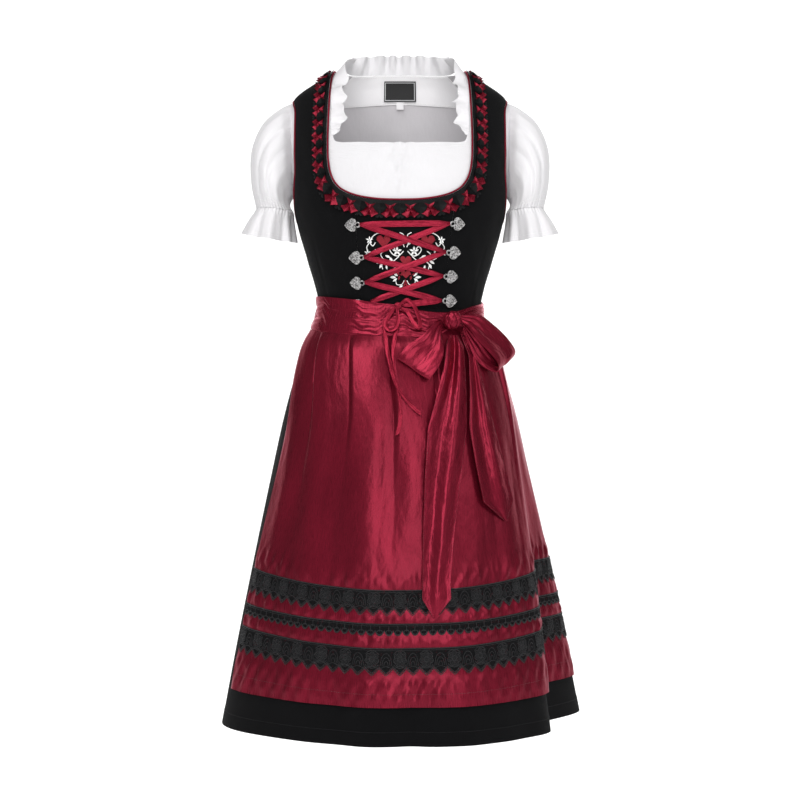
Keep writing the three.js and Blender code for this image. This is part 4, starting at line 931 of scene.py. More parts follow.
class Lines:
    """Paths for threads and stitches, in millimetres."""

    def __init__(self) -> None:
        """Starts empty."""
        self.points: list[Points] = []
        self.thick: list[Points] = []
        self.edges: list[tuple[int, int]] = []
        self.count = 0

    def add(self, points: Points, thick: Points | float = 0.5, closed: bool = False) -> None:
        """Adds a path.

        Args:
            points: its points.
            thick: half its thickness, one value or one for each point.
            closed: whether its end joins its start.
        """
        size = len(points)
        self.points.append(np.asarray(points, float))
        self.thick.append(np.broadcast_to(np.asarray(thick, float), (size,)))
        first = self.count
        self.edges += [(first + i, first + i + 1) for i in range(size - 1)]
        if closed:
            self.edges.append((first + size - 1, first))
        self.count += size

    def carrier(self, name: str) -> bpy.types.Mesh:
        """The paths as a mesh of edges, in metres.

        Args:
            name: the mesh's name.

        Returns:
            The mesh.
        """
        made = bpy.data.meshes.new(name)
        made.from_pydata(np.concatenate(self.points) * MM, self.edges, [])
        thick = made.attributes.new("thick", "FLOAT", "POINT")
        thick.data.foreach_set("value", (np.concatenate(self.thick) * MM).astype(np.float32))
        return made


class Places:
    """Places for units, each with its axes and size."""

    def __init__(self) -> None:
        """Starts empty."""
        self.points: list[Points] = []
        self.turns: list[Points] = []
        self.sizes: list[tuple[float, float, float]] = []

    def add(
        self, point: Points, across: Points, out: Points, size: Sequence[float] = (1, 1, 1),
        spin: float = 0.0
    ) -> None:
        """Adds a place.

        Args:
            point: its middle in millimetres.
            across: the way the unit's x axis runs.
            out: the way the unit looks.
            size: the unit's scale along its three axes.
            spin: turn about the way it looks, in degrees.
        """
        up = unit(np.cross(out, across))
        across = np.cross(up, out)
        turn = math.radians(spin)
        first = across * math.cos(turn) + up * math.sin(turn)
        second = np.cross(out, first)
        axes = Matrix((first, second, out)).transposed()
        self.points.append(np.asarray(point, float))
        self.turns.append(np.array(axes.to_euler()))
        self.sizes.append(tuple(size))

    def carrier(self, name: str) -> bpy.types.Mesh:
        """The places as a mesh of points, in metres.

        Args:
            name: the mesh's name.

        Returns:
            The mesh.
        """
        made = bpy.data.meshes.new(name)
        made.from_pydata(np.array(self.points) * MM, [], [])
        for label, values in (("turn", self.turns), ("size", self.sizes)):
            layer = made.attributes.new(label, "FLOAT_VECTOR", "POINT")
            layer.data.foreach_set("vector", np.array(values, np.float32).ravel())
        return made


def joined(name: str, meshes: Sequence[bpy.types.Mesh]) -> bpy.types.Mesh:
    """One mesh out of several, with their UV maps and materials kept.

    Args:
        name: the new mesh's name.
        meshes: the meshes to join.

    Returns:
        The joined mesh.
    """
    corners, faces, threads, marks, finishes = [], [], [], [], []
    count = 0
    for mesh in meshes:
        places = np.empty(len(mesh.vertices) * 3, np.float32)
        mesh.vertices.foreach_get("co", places)
        corners.append(places.reshape(-1, 3))
        layer = mesh.uv_layers.get("thread")
        flat = np.zeros(len(mesh.loops) * 2, np.float32)
        if layer:
            layer.data.foreach_get("uv", flat)
        threads.append(flat)
        slots = []
        for material in mesh.materials:
            if material not in finishes:
                finishes.append(material)
            slots.append(finishes.index(material))
        for polygon in mesh.polygons:
            faces.append([corner + count for corner in polygon.vertices])
            marks.append(slots[polygon.material_index] if slots else 0)
        count += len(mesh.vertices)
    made = bpy.data.meshes.new(name)
    made.from_pydata(np.concatenate(corners), [], faces)
    made.uv_layers.new(name="thread").data.foreach_set("uv", np.concatenate(threads))
    for material in finishes:
        made.materials.append(material)
    made.polygons.foreach_set("material_index", marks)
    made.shade_smooth()
    made.set_sharp_from_angle(angle=math.radians(60))
    return made


@dataclass
class Workbench:
    form: Form = field(default_factory=Form)
    finishes: Wardrobe = field(default_factory=Wardrobe)
    sheets: dict[str, tuple[float, float]] = field(default_factory=dict)
    cords: dict[str, float] = field(default_factory=dict)

    def __post_init__(self) -> None:
        """Makes the node trees that the pieces share."""
        self.units = units_tree()
        self.threads = threads_tree()
        self.stitches = stitches_tree()

    def put(
        self, name: str, mesh: bpy.types.Mesh, finish: Finish, replaces: Sequence[str] = ()
    ) -> bpy.types.Object:
        """Puts a piece in the scene.

        Args:
            name: the piece's name.
            mesh: its mesh in metres.
            finish: its finish, where the mesh has none of its own.
            replaces: the frame's nodes that it stands for.

        Returns:
            The object.
        """
        mesh.name = name
        if not len(mesh.materials):
            mesh.materials.append(finish.material())
        made = bpy.data.objects.new(name, mesh)
        bpy.context.scene.collection.objects.link(made)
        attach(made, "root")
        if replaces:
            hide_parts(*replaces)
        log.info("%s: %d faces", name, len(mesh.polygons))
        return made

    def declare(
        self, made: bpy.types.Object, cut: tuple[float, float, float], held: Held, rests_on: Sequence[str],
        trims: Sequence[bpy.types.Object] = ()
    ) -> None:
        """Keeps a piece's flat width and length in metres with the sheets; its area is clipped but not
        kept.

        Args:
            made: the piece.
            cut: its flat width, length and area in metres.
            held: how it is held; not used.
            rests_on: pieces it hangs from or lies on; not used.
            trims: pieces sewn on it; not used.
        """
        width, length, area = cut
        area = float(np.clip(area, 0.31 * width * length, width * length))
        self.sheets[made.name] = (round(width, 3), round(length, 3))

    def hang(
        self, name: str, cloth: Cloth, thickness: float, finish: Finish, held: Held,
        rests_on: Sequence[str] = (), replaces: Sequence[str] = (), trims: Sequence[bpy.types.Object] = ()
    ) -> bpy.types.Object:
        """Args:
            name: the piece's name.
            cloth: its grid of points.
            thickness: its thickness in millimetres.
            finish: its finish.
            held: how it is held.
            rests_on: names of the pieces it hangs from or lies on.
            replaces: the frame's nodes that it stands for.
            trims: pieces sewn on it.

        Returns:
            The object.
        """
        made = self.put(name, cloth.mesh(name, thickness), finish, replaces)
        self.declare(made, cloth.measures(), held, rests_on, trims)
        return made

    def lay(
        self, name: str, lines: Lines, finish: Finish, sides: int = 8, replaces: Sequence[str] = ()
    ) -> bpy.types.Object:
        """Lays threads along lines as one piece."""
        mesh = self.threads.run(lines.carrier(name), Sides=sides, Material=finish.material())
        return self.put(name, mesh, finish, replaces)

    def sew(
        self, name: str, lines: Lines, finish: Finish, pitch: float, length: float, width: float
    ) -> bpy.types.Object:
        """Sews stitches along lines as one piece; sizes are in millimetres."""
        sizes = {"Pitch": pitch * MM, "Length": length * MM, "Width": width * MM}
        mesh = self.stitches.run(lines.carrier(name), Seed=11, Material=finish.material(), **sizes)
        return self.put(name, mesh, finish)

    def place(
        self, name: str, shape: bpy.types.Mesh, places: Places, finish: Finish, jitter: float = 0.0,
        seed: int = 5
    ) -> bpy.types.Mesh:
        """Puts a unit at every place and returns them as one mesh.

        Args:
            name: the piece's name.
            shape: the unit's mesh.
            places: where the units go.
            finish: their finish.
            jitter: how far each is turned at random.
            seed: which random turns.

        Returns:
            The mesh.
        """
        holder = bpy.data.objects.new(name + "_unit", shape)
        made = self.units.run(
            places.carrier(name), Unit=holder, Seed=seed, Jitter=jitter, Material=finish.material()
        )
        bpy.data.objects.remove(holder)
        return made


# Studio


@dataclass
class Studio:
    """Camera, lights and seamless pale floor."""

    distance: float = 2.5
    height: float = -0.520
    lens: float = 70.3
    floor: float = -1.42

    def build(self) -> None:
        """Builds the camera, the lights and the floor."""
        scene = bpy.context.scene
        camera = bpy.data.cameras.new("camera")
        camera.lens, camera.sensor_width = self.lens, 36.0
        held = bpy.data.objects.new("camera", camera)
        held.location = (0.0, -self.distance, self.height)
        held.rotation_euler = (math.radians(90), 0.0, 0.0)
        scene.collection.objects.link(held)
        scene.camera = held
        scene.view_settings.view_transform = "Standard"
        world = bpy.data.worlds.new("studio")
        world.use_nodes = True
        background = world.node_tree.nodes["Background"]
        background.inputs["Color"].default_value = (1.0, 1.0, 1.0, 1.0)
        nodes = world.node_tree.nodes
        split, behind = nodes.new("ShaderNodeSeparateXYZ"), nodes.new("ShaderNodeMapRange")
        world.node_tree.links.new(nodes.new("ShaderNodeTexCoord").outputs["Generated"], split.inputs[0])
        world.node_tree.links.new(split.outputs["Y"], behind.inputs["Value"])
        for name, value in (("From Min", -0.2), ("From Max", 0.4), ("To Min", 0.44), ("To Max", 0.12)):
            behind.inputs[name].default_value = value
        world.node_tree.links.new(behind.outputs["Result"], background.inputs["Strength"])
        scene.world = world
        self.light("key", (-1.1, -2.6, 1.2), 1.4, 35.0)
        self.light("front", (0.35, -3.0, -0.25), 1.4, 23.0)
        self.light("fill", (2.1, -1.8, 0.3), 1.4, 13.0)
        self.light("top", (0.1, -1.5, 1.7), 1.2, 20.0)
        self.light("rear", (0.0, 2.2, 0.6), 2.4, 26.0)
        self.sweep()
        log.info("studio ready")

    def light(self, name: str, place: tuple[float, float, float], size: float, power: float) -> None:
        """Adds a soft square light that looks at the middle of the garment.

        Args:
            name: its name.
            place: where it stands.
            size: its side in metres.
            power: its power in watts.
        """
        lamp = bpy.data.lights.new(name, "AREA")
        lamp.size, lamp.energy = size, power
        made = bpy.data.objects.new(name, lamp)
        made.location = place
        aim = np.array([0.0, 0.0, self.height]) - np.array(place)
        out = unit(-aim)
        across = unit(np.cross([0.0, 0.0, 1.0], out))
        made.rotation_euler = Matrix((across, np.cross(out, across), out)).transposed().to_euler()
        bpy.context.scene.collection.objects.link(made)

    def sweep(self) -> None:
        """Adds the floor, which curves up behind."""
        turns = np.linspace(0, math.pi / 2, 24)
        y = np.r_[-6.0, 2.4 + 1.0 * np.sin(turns), 3.4]
        z = np.r_[0.0, 1.0 - 1.0 * np.cos(turns), 4.5] + self.floor
        x = np.linspace(-6, 6, 9)
        grid = np.stack(np.broadcast_arrays(x[None, :], y[:, None], z[:, None]), -1) / MM
        paper = StudioPaper("studio_paper", Slot.WHITE, (0.97, 0.97, 0.97), Coordinates.PLACE)
        cloth = Cloth(grid, np.array([0.0, -1.0, 1.0]))
        mesh = cloth.mesh("floor", 1.0)
        mesh.materials.append(paper.material())
        made = bpy.data.objects.new("floor", mesh)
        bpy.context.scene.collection.objects.link(made)


# Lacing


def resampled(stops: Sequence[Sequence[float]], count: int) -> Points:
    """Smooth curve through rows of values, at even shares of the way."""
    table = np.asarray(stops, float)
    names = tuple(["step", *[str(i) for i in range(table.shape[1])]])
    chart = Chart(names, tuple((step, *row) for step, row in enumerate(table)))
    at = np.linspace(0, len(table) - 1, count)
    return np.stack([chart.read(name, at) for name in names[1:]], -1)


@dataclass
class Lacing:
    """The satin ribbon laced through the hooks, with its small bow and two hanging ends."""

    bench: Workbench
    width: float = 8.5
    tail_width: float = 6.0
    thickness: float = 0.7
    runs: Chart = Chart(
        ("x", "drop", "lift", "halfway", "to_x", "to_drop", "to_lift"),
        (
            (-65, 253, 5.2, 1.6, 80, 251, 5.2), (-65, 253, 5.2, 3.2, 74, 294, 5.2),
            (80, 251, 5.2, 1.6, -59, 302, 5.2), (74, 294, 5.2, 3.2, -58, 340, 5.5),
            (-59, 302, 5.2, 1.6, 70, 330, 5.7), (70, 330, 5.7, 2, -49, 369, 4.2),
            (-58, 340, 5.5, 3.6, 68, 367, 6), (68, 367, 6, 5, 2, 374, 6.4)
        )
    )
    loops: tuple = (
        (
            (-6, 377, 10), (-15, 388, 12), (-22, 404, 13), (-16, 414, 13), (-6, 409, 12), (-3, 396, 11),
            (-4, 378, 9)
        ),
        (
            (0, 373, 10), (11, 367, 12), (21, 376, 13), (29, 394, 13), (30, 410, 12), (22, 404, 10),
            (12, 386, 9), (0, 378, 8)
        )
    )
    tails: tuple = (
        (
            "left",
            (
                (-12, 384, 8.6), (-23, 404, 9.6), (-22, 428, 11.5), (-16, 461, 13.2), (-6, 495, 13.2),
                (8, 518, 12.6), (22, 533, 12), (31, 540, 12)
            )
        ),
        (
            "right",
            (
                (-3, 386, 7), (-6, 412, 8.4), (-10, 443, 11), (-6, 480, 11.2), (0, 522, 11), (0, 553, 10.4),
                (-4, 572, 10.2)
            )
        )
    )

    def strip(self, path: Points, side: Points, width: Points, bow: float = 0.0) -> Cloth:
        """A strip of ribbon along a path.

        Args:
            path: points along its middle.
            side: the way its width runs at each point.
            width: its width at each point.
            bow: how far its middle stands out over its edges.

        Returns:
            The strip.
        """
        across = np.linspace(-0.5, 0.5, 9)
        out = unit(np.cross(np.gradient(path, axis=0), side))
        out = np.where(out[:, 1:2] > 0, -out, out)
        crown = bow * (1 - (2 * across) ** 2)
        spread = (width[:, None] * across)[..., None]
        grid = path[:, None] + side[:, None] * spread + out[:, None] * crown[:, None]
        return Cloth(grid, out[:, None])

    def on_front(self, stops: Points) -> Points:
        """Points at x, drop and lift off the front."""
        return self.bench.form.front(stops[:, 0], stops[:, 1], stops[:, 2])

    def hanging_ends(self) -> None:
        """Makes the two free ends, each a cord of flat ribbon."""
        for name, stops in self.tails:
            table = resampled(stops, 70)
            path = self.on_front(table)
            out = self.bench.form.outward(self.bench.form.angle_at(table[:, 0], table[:, 1]), table[:, 1])
            along = unit(np.gradient(path, axis=0))
            side = unit(np.cross(along, out))
            share = np.linspace(0, 1, len(path))
            width = self.tail_width * (1 - 0.3 * hump(share, 0, 0.08))
            cloth = self.strip(path, side, width, 0.5)
            cut = np.linspace(-0.5, 0.5, cloth.points.shape[1])
            tip = np.linspace(0, 1, 6)[:, None, None]
            cloth.points[-6:] += along[-1] * (cut * 5.0)[None, :, None] * tip
            piece = self.bench.put(
                f"lacing_end_{name}", cloth.mesh(f"lacing_end_{name}", self.thickness),
                self.bench.finishes.ribbon, [f"lacing_tail_{name}"]
            )
            length = float(np.linalg.norm(np.diff(path, axis=0), axis=-1).sum()) * MM
            self.bench.cords[piece.name] = round(length, 3)
            [tuple(point) for point in path * MM]

    def laced(self) -> None:
        """Makes the runs between the hooks as one long ribbon."""
        meshes = []
        upright = np.array([0.0, 0.0, 1.0])
        for x, drop, lift, halfway, to_x, to_drop, to_lift in self.runs.rows:
            towards = 3.6 if to_x > x else -3.6
            x, to_x = x + towards, to_x - (towards if abs(to_x) > 10 else 0)
            share = np.linspace(0, 1, 41)
            end = np.where(share < 0.5, lift, to_lift)
            height = mix(halfway, end, np.abs(share * 2 - 1) ** 2)
            path = self.bench.form.front(mix(x, to_x, share), mix(drop, to_drop, share), height)
            near = np.maximum(hump(share, 0, 0.1), hump(share, 1, 0.1))
            side = np.broadcast_to(upright, path.shape) + 0.0
            cloth = self.strip(path, side, self.width * (1.08 - 0.52 * near), 0.5)
            creases = np.linspace(-0.5, 0.5, 9)[None, :]
            cloth = cloth.lifted(
                0.5 * near[:, None] * np.cos(creases * 16) + 0.12 * np.sin(share * 37)[:, None]
            )
            meshes.append(cloth.mesh("run", self.thickness))
        self.bench.put(
            "laced_ribbon", joined("laced_ribbon", meshes), self.bench.finishes.ribbon, ["lacing"]
        )

    def bow(self) -> None:
        """Makes the small bow: two loops and a wound knot."""
        meshes = []
        for stops in self.loops:
            table = resampled(stops, 60)
            path = self.on_front(table)
            out = self.bench.form.outward(self.bench.form.angle_at(table[:, 0], table[:, 1]), table[:, 1])
            side = unit(np.cross(np.gradient(path, axis=0), out) + 0.35 * out)
            share = np.linspace(0, 1, len(path))
            near = np.maximum(hump(share, 0, 0.12), hump(share, 1, 0.12))
            cloth = self.strip(path, side, 5.8 * (1 - 0.4 * near), 0.4)
            meshes.append(cloth.mesh("loop", self.thickness))
        seat = self.bench.form.front(-3.0, 376.0, 9.0)
        across, up, out = self.bench.form.front_axes(-3.0, 376.0)
        turn, rise = np.linspace(0, 2 * math.pi, 41)[:-1], np.linspace(-1, 1, 17)
        wide = np.sqrt(np.maximum(1 - rise**2 * 0.8, 0.02))[:, None]
        crease = 1 + 0.07 * np.cos(turn * 3 + 1.0)[None, :] * np.cos(rise * 5)[:, None]
        ring = wide * crease
        knot = seat + across * (5.6 * ring * np.cos(turn))[..., None]
        knot = knot + out * (3.4 * ring * np.sin(turn))[..., None]
        knot = knot + up * (5.2 * rise[:, None] * np.ones_like(ring))[..., None]
        looks = across * np.cos(turn)[None, :, None] + out * np.sin(turn)[None, :, None]
        wound = Cloth(knot, looks, closed=True)
        meshes.append(wound.mesh("knot", 0.6))
        mesh = joined("lacing_bow_ribbon", meshes)
        self.bench.put("lacing_bow_ribbon", mesh, self.bench.finishes.ribbon, ["lacing_bow"])

    def build(self) -> None:
        """Builds the lacing, its free ends first."""
        self.hanging_ends()
        self.laced()
        self.bow()


# Blouse

SEAM_ANGLE = 0.09


def ripples(angle: Points, drop: Points, seed: int, along: float = 60.0, round_: float = 14.0) -> Points:
    """Soft uneven waves of cloth between -1 and 1, from a few crossing sines.

    Args:
        angle: places round the form, in degrees.
        drop: heights.
        seed: which set of waves.
        along: their length down the cloth.
        round_: their width round it.

    Returns:
        The waves.
    """
    chance = np.random.default_rng(seed)
    total = np.zeros(np.broadcast(angle, drop).shape)
    for _ in range(7):
        a, d, phase = chance.uniform(0.6, 1.6), chance.uniform(-1.2, 1.2), chance.uniform(0, 6.3)
        total = total + np.sin(2 * math.pi * (a * angle / round_ + d * drop / along) + phase)
    return total / 4.0


def seam_at(form: Form, top: float, waist: float, drop: Points) -> Points:
    """Angle of a front seam that runs from its place at the neck to its place at the waist."""
    return form.angle_at(mix(top, waist, np.clip((drop - 205) / (WAIST_DROP - 205), 0, 1)), drop)


@dataclass(frozen=True)
class HalfPanel:
    """One half of a torso panel; its rows run from the neckline or the middle to the armhole."""

    form: Form
    neckline: Chart
    armhole: Chart
    edge: str
    back: bool
    steps: tuple[float, ...]
    drops: tuple[float, ...]
    outers: tuple[float, ...]
    gap: float = 0.0
    seam: tuple[float, float] | None = None

    def seam_angle(self, drop: Points) -> Points:
        """Angle of the front panel's seam on this side."""
        return seam_at(self.form, *self.seam, drop) + SEAM_ANGLE * 1.2

    def grid(self, rows: int, columns: int, side: int) -> tuple[Points, Points]:
        """Angles and drops of the panel's grid.

        Args:
            rows: number of spans down the panel.
            columns: number of spans across it.
            side: 1 for the +X half, -1 for the other.

        Returns:
            The angle and the drop at each corner.
        """
        last, turn = len(self.outers) - 1, len(self.steps) - 1
        row = np.linspace(0, last, rows + 1)
        step = np.interp(row, np.arange(turn + 1), self.steps)
        x, neck_drop = self.neckline.read("x", step), self.neckline.read("drop", step)
        joint = float(self.neckline.read("drop", self.steps[-1]))
        below = np.interp(row, np.arange(turn, last + 1), (joint, *self.drops))
        drop = np.where(row <= turn, neck_drop, below)
        middle = 180 - SEAM_ANGLE * self.gap if self.back else 0.0
        angle = np.where(x < 1, middle, self.form.angle_at(np.maximum(x, 1e-3), neck_drop, self.back))
        shoulder = 90 + SEAM_ANGLE * (1 if self.back else -1)
        clamp = np.maximum if self.back else np.minimum
        angle = clamp(angle, shoulder)
        lower = self.seam_angle(drop) if self.seam else middle
        angle = np.where(row >= turn, lower, angle)
        outer = np.interp(row, np.arange(last + 1), self.outers)
        bottom = self.armhole.rows[-1][0]
        outer_angle = clamp(np.where(outer < bottom, self.armhole.read(self.edge, outer), 90.0), shoulder)
        share = dense_ends(columns)[None, :]
        angles = mix(angle[:, None], outer_angle[:, None], share)
        return side * angles, mix(drop[:, None], outer[:, None], share)


@dataclass
class Blouse:
    """The white blouse: front, back, neck band and the labels sewn in it."""

    bench: Workbench
    lift: float = -4.5
    back_lift: float = -4.4
    thickness: float = 0.8
    neckline: Chart = Chart(
        ("step", "x", "drop"),
        (
            (0, 99, -10), (1, 102, 10), (2, 104, 40), (3, 105, 80), (4, 104.5, 112), (5, 95, 121),
            (6, 64, 122), (7, 32, 123), (8, 0, 123)
        )
    )
    armhole: Chart = Chart(
        ("drop", "front", "back"),
        (
            (46, 90, 90), (56, 83, 97), (80, 79.5, 101), (116, 78.5, 102), (155, 80, 100), (178, 84, 96),
            (190, 90, 90)
        )
    )
    back_rows: Chart = Chart(
        ("row", "middle", "side"),
        (
            (0, -15, -10), (1, 3, 18), (2, 32, 46), (3, 64, 80), (4, 100, 116), (5, 142, 155),
            (6, 186, 190), (7, 242, 242), (8, 300, 300)
        )
    )

    def front(self) -> None:
        """Makes the front, shirred at the middle of its neckline."""
        panel = HalfPanel(
            self.bench.form, self.neckline, self.armhole, "front", False, (0, 1, 2, 3, 4, 5, 6, 7, 8),
            (165, 210, 255, 300), (46, 60, 82, 108, 132, 150, 166, 179, 190, 214, 242, 270, 300)
        )
        meshes, cuts = [], []
        for side in (-1, 1):
            angle, drop = panel.grid(96, 64, side)
            looks = self.bench.form.outward(angle, drop)
            x = self.bench.form.face(angle, drop)[..., 0]
            shirred = hump(x, 0, 17) * soft_step(drop, 112, 126) * (1 - soft_step(drop, 180, 215))
            folds = np.sin((x + 0.45 * (drop - 150)) / 3.3 + 1.4 * np.sin(drop / 13))
            folds = folds + 0.7 * np.sin((x - 0.6 * (drop - 150)) / 2.6 + 2.0 * np.sin(drop / 9))
            spread = hump(x, 0, 48) * soft_step(drop, 118, 135) * (1 - soft_step(drop, 190, 230))
            soft = 0.45 * np.sin(x / 7.0 + np.sin(drop / 23.0)) * spread
            lift = self.lift + 1.5 * shirred * folds + soft + 0.25 * ripples(angle, drop, 4)
            cloth = Cloth(self.bench.form.skin(angle, drop, lift), looks)
            meshes.append(cloth.mesh("half", self.thickness))
            cuts.append(cloth.measures())
        name = "blouse_front_cloth"
        made = self.bench.put(name, joined(name, meshes), self.bench.finishes.front_white, ["blouse_front"])
        cut = (cuts[0][0] + cuts[1][0], cuts[0][1], cuts[0][2] + cuts[1][2])
        self.bench.declare(made, cut, Held.HUNG, ["collar_frill"])

    def back_grid(self, rows: Points, shares: Points) -> tuple[Points, Points]:
        """Angles and drops of the back; a share runs from -1 at one side to 1 at the other.

        Args:
            rows: places down the chart of rows.
            shares: places across.

        Returns:
            The angle and the drop at each corner.
        """
        middle = self.back_rows.read("middle", rows)[:, None]
        outer = self.back_rows.read("side", rows)[:, None]
        inside = (outer > 46) & (outer < 190)
        edge = np.where(inside, self.armhole.read("back", outer), 90.0)
        share = 1 - np.abs(shares)[None, :]
        side = np.where(shares < 0, 1.0, -1.0)[None, :]
        angle = side * mix(np.maximum(edge, 90 + SEAM_ANGLE), 180.0, share)
        angle = np.where(angle < 0, angle + 360, angle)
        return angle, mix(outer, middle, np.sin(share * math.pi / 2))

    def back(self) -> None:
        """Makes the back with its neck band, label and size tag."""
        form, bench = self.bench.form, self.bench
        angle, drop = self.back_grid(np.linspace(0, 8, 81), np.linspace(-1, 1, 161))
        lift = self.lift + self.back_lift + 0.5 + 0.35 * ripples(angle, drop, 9, 90, 30)
        cloth = Cloth(form.skin(angle, drop, lift), form.outward(angle, drop))
        # The back's inside wears the darker white: painted shade.
        bench.hang(
            "blouse_back_cloth", cloth, self.thickness, bench.finishes.inside, Held.HUNG, ["collar_frill"],
            ["blouse_back"]
        )
        rows = np.linspace(0, 2, 25)
        angle, drop = self.back_grid(rows, np.linspace(-0.69, 0.69, 141))
        lift = self.lift + self.back_lift - 1.0 + 0.15 * np.cos(rows * math.pi * 2)[:, None]
        band = Cloth(form.skin(angle, drop, lift), form.outward(angle, drop))
        edges = Lines()
        for row in (1, -2):
            edges.add(band.lifted(np.full(band.points.shape[:2], -0.7)).points[row], 0.3)
        sewn = bench.sew("neck_band_stitches", edges, bench.finishes.white_thread, 3.0, 2.3, 0.6)
        # The neck band wears the brightened white: painted light.
        bench.hang(
            "neck_band_cloth", band, 0.9, bench.finishes.band, Held.STRETCHED, ["blouse_back_cloth"],
            ["neck_band"], [sewn]
        )
        low = self.lift - 0.5 + self.back_lift
        self.patch("label_cloth", "label", 27, -8, 27, low - 2.9, 24, bench.finishes.label)
        self.patch("size_tag_cloth", "size_tag", 6, 27.5, 39, low - 2.7, 6, bench.finishes.band)

    def patch(
        self, name: str, node: str, half: float, top: float, bottom: float, lift: float, count: int,
        finish: Finish
    ) -> None:
        """Makes a small piece of cloth sewn in at the back of the neck.

        Args:
            name: the piece's name.
            node: the frame's node.
            half: half its width.
            top: drop of its upper edge.
            bottom: drop of its lower edge.
            lift: its distance off the form.
            count: spans across.
            finish: its finish.
        """
        form = self.bench.form
        x, drop = np.meshgrid(np.linspace(half, -half, count + 1), np.linspace(top, bottom, 13))
        angle = form.angle_at(np.where(x == 0, 1e-3, x), drop, True)
        grid = form.skin(angle, drop, lift)
        cloth = Cloth(grid, -form.outward(angle, drop))
        if isinstance(finish, WovenLabel):
            width, height, _ = cloth.measures()
            finish = WovenLabel(finish.name, finish.slot, finish.colour, finish.follows, width, height)
        self.bench.hang(name, cloth, 0.6, finish, Held.STRETCHED, ["neck_band_cloth"], [node])

    def build(self) -> None:
        """Builds the blouse's body."""
        self.front()
        self.back()


@dataclass
class Collar:
    """The frill round the blouse's neck: upright behind, falling in zigzags beside the straps."""

    bench: Workbench
    waves: int = 16
    seam: Chart = Chart(
        ("along", "angle", "drop", "inward", "up", "forward"),
        (
            (0, 180, -15.3, 0, 34, -2), (0.2, 150, -15, 2, 34, 0), (0.38, 118, -13.4, 8, 31, 0),
            (0.5, 90, -11.8, 16, 21, 2), (0.555, 75.5, 3, 23.5, 14, 5), (0.62, 65, 25, 26.5, 8, 7),
            (0.76, 56.2, 60, 27, 2, 7), (0.89, 52.8, 92, 25, 1, 6), (1, 50.5, 110, 7, 2, 2)
        )
    )

    def build(self) -> None:
        """Builds the frill and its hem stitches."""
        form, bench = self.bench.form, self.bench
        along = np.linspace(-1, 1, 481)
        at = np.abs(along)
        side = np.where(along < 0, -1.0, 1.0)
        read = partial(self.seam.read, at=at)
        lean = np.stack([-side * read("inward"), -read("forward"), read("up")], -1)
        deeper = -4.4 * np.clip((read("angle") - 84) / 14, 0, 1)
        laid_over = soft_step(at, 0.58, 0.66)
        seam = form.skin(side * read("angle"), read("drop"), -4.5 + deeper + 1.3 * laid_over)
        path = np.gradient(seam, axis=0)
        out = unit(np.cross(path, lean))
        end = np.sin((along + 1) / 2 * math.pi).clip(0, 1) ** 0.3
        share = np.linspace(0.012, 1, 31)[:, None]
        falling = soft_step(at, 0.5, 0.6)
        turn = (along + 1) / 2 * (self.waves - 1) * 2 * math.pi
        turn = turn + 0.5 * np.sin(along * 9 + 0.6) + 0.35 * np.sin(along * 23 + 2.0)
        depth = Chart(("share", "wave"), ((0, 0.3), (0.5, 3.4), (1, 6.6))).read("wave", share)
        fold = np.arcsin(0.97 * np.cos(turn)) / 1.32
        wave = fold * depth * (1 + 0.25 * falling) * end
        fine = 0.3 * np.sin(turn * 3.1 + 4 * along) * (1 - share)
        zigzag = np.arcsin(0.96 * np.sin(turn + 0.9 * np.sin(turn))) / 1.3
        slack = 1 - share * (0.03 + 0.17 * falling * (1 - zigzag))
        sway = unit(path) * (1.6 * np.sin(turn * 2) * end)[:, None]
        fallen = (share * 0.98 * slack)[..., None]
        grid = seam[None] + lean[None] * fallen + out[None] * (wave + fine)[..., None]
        grid = grid + sway[None] * share[..., None]
        cloth = Cloth(grid, out[None])
        hem = Lines()
        for lift in (0.45, -0.45):
            hem.add(cloth.lifted(np.full(grid.shape[:2], lift)).points[-4], 0.3)
        sewn = bench.sew("collar_hem_stitches", hem, bench.finishes.white_thread, 2.6, 2.0, 0.5)
        bench.hang(
            "collar_frill", cloth, 0.7, bench.finishes.white, Held.GATHERED, ["neck_band_cloth"],
            ["collar_ruffle"], [sewn]
        )


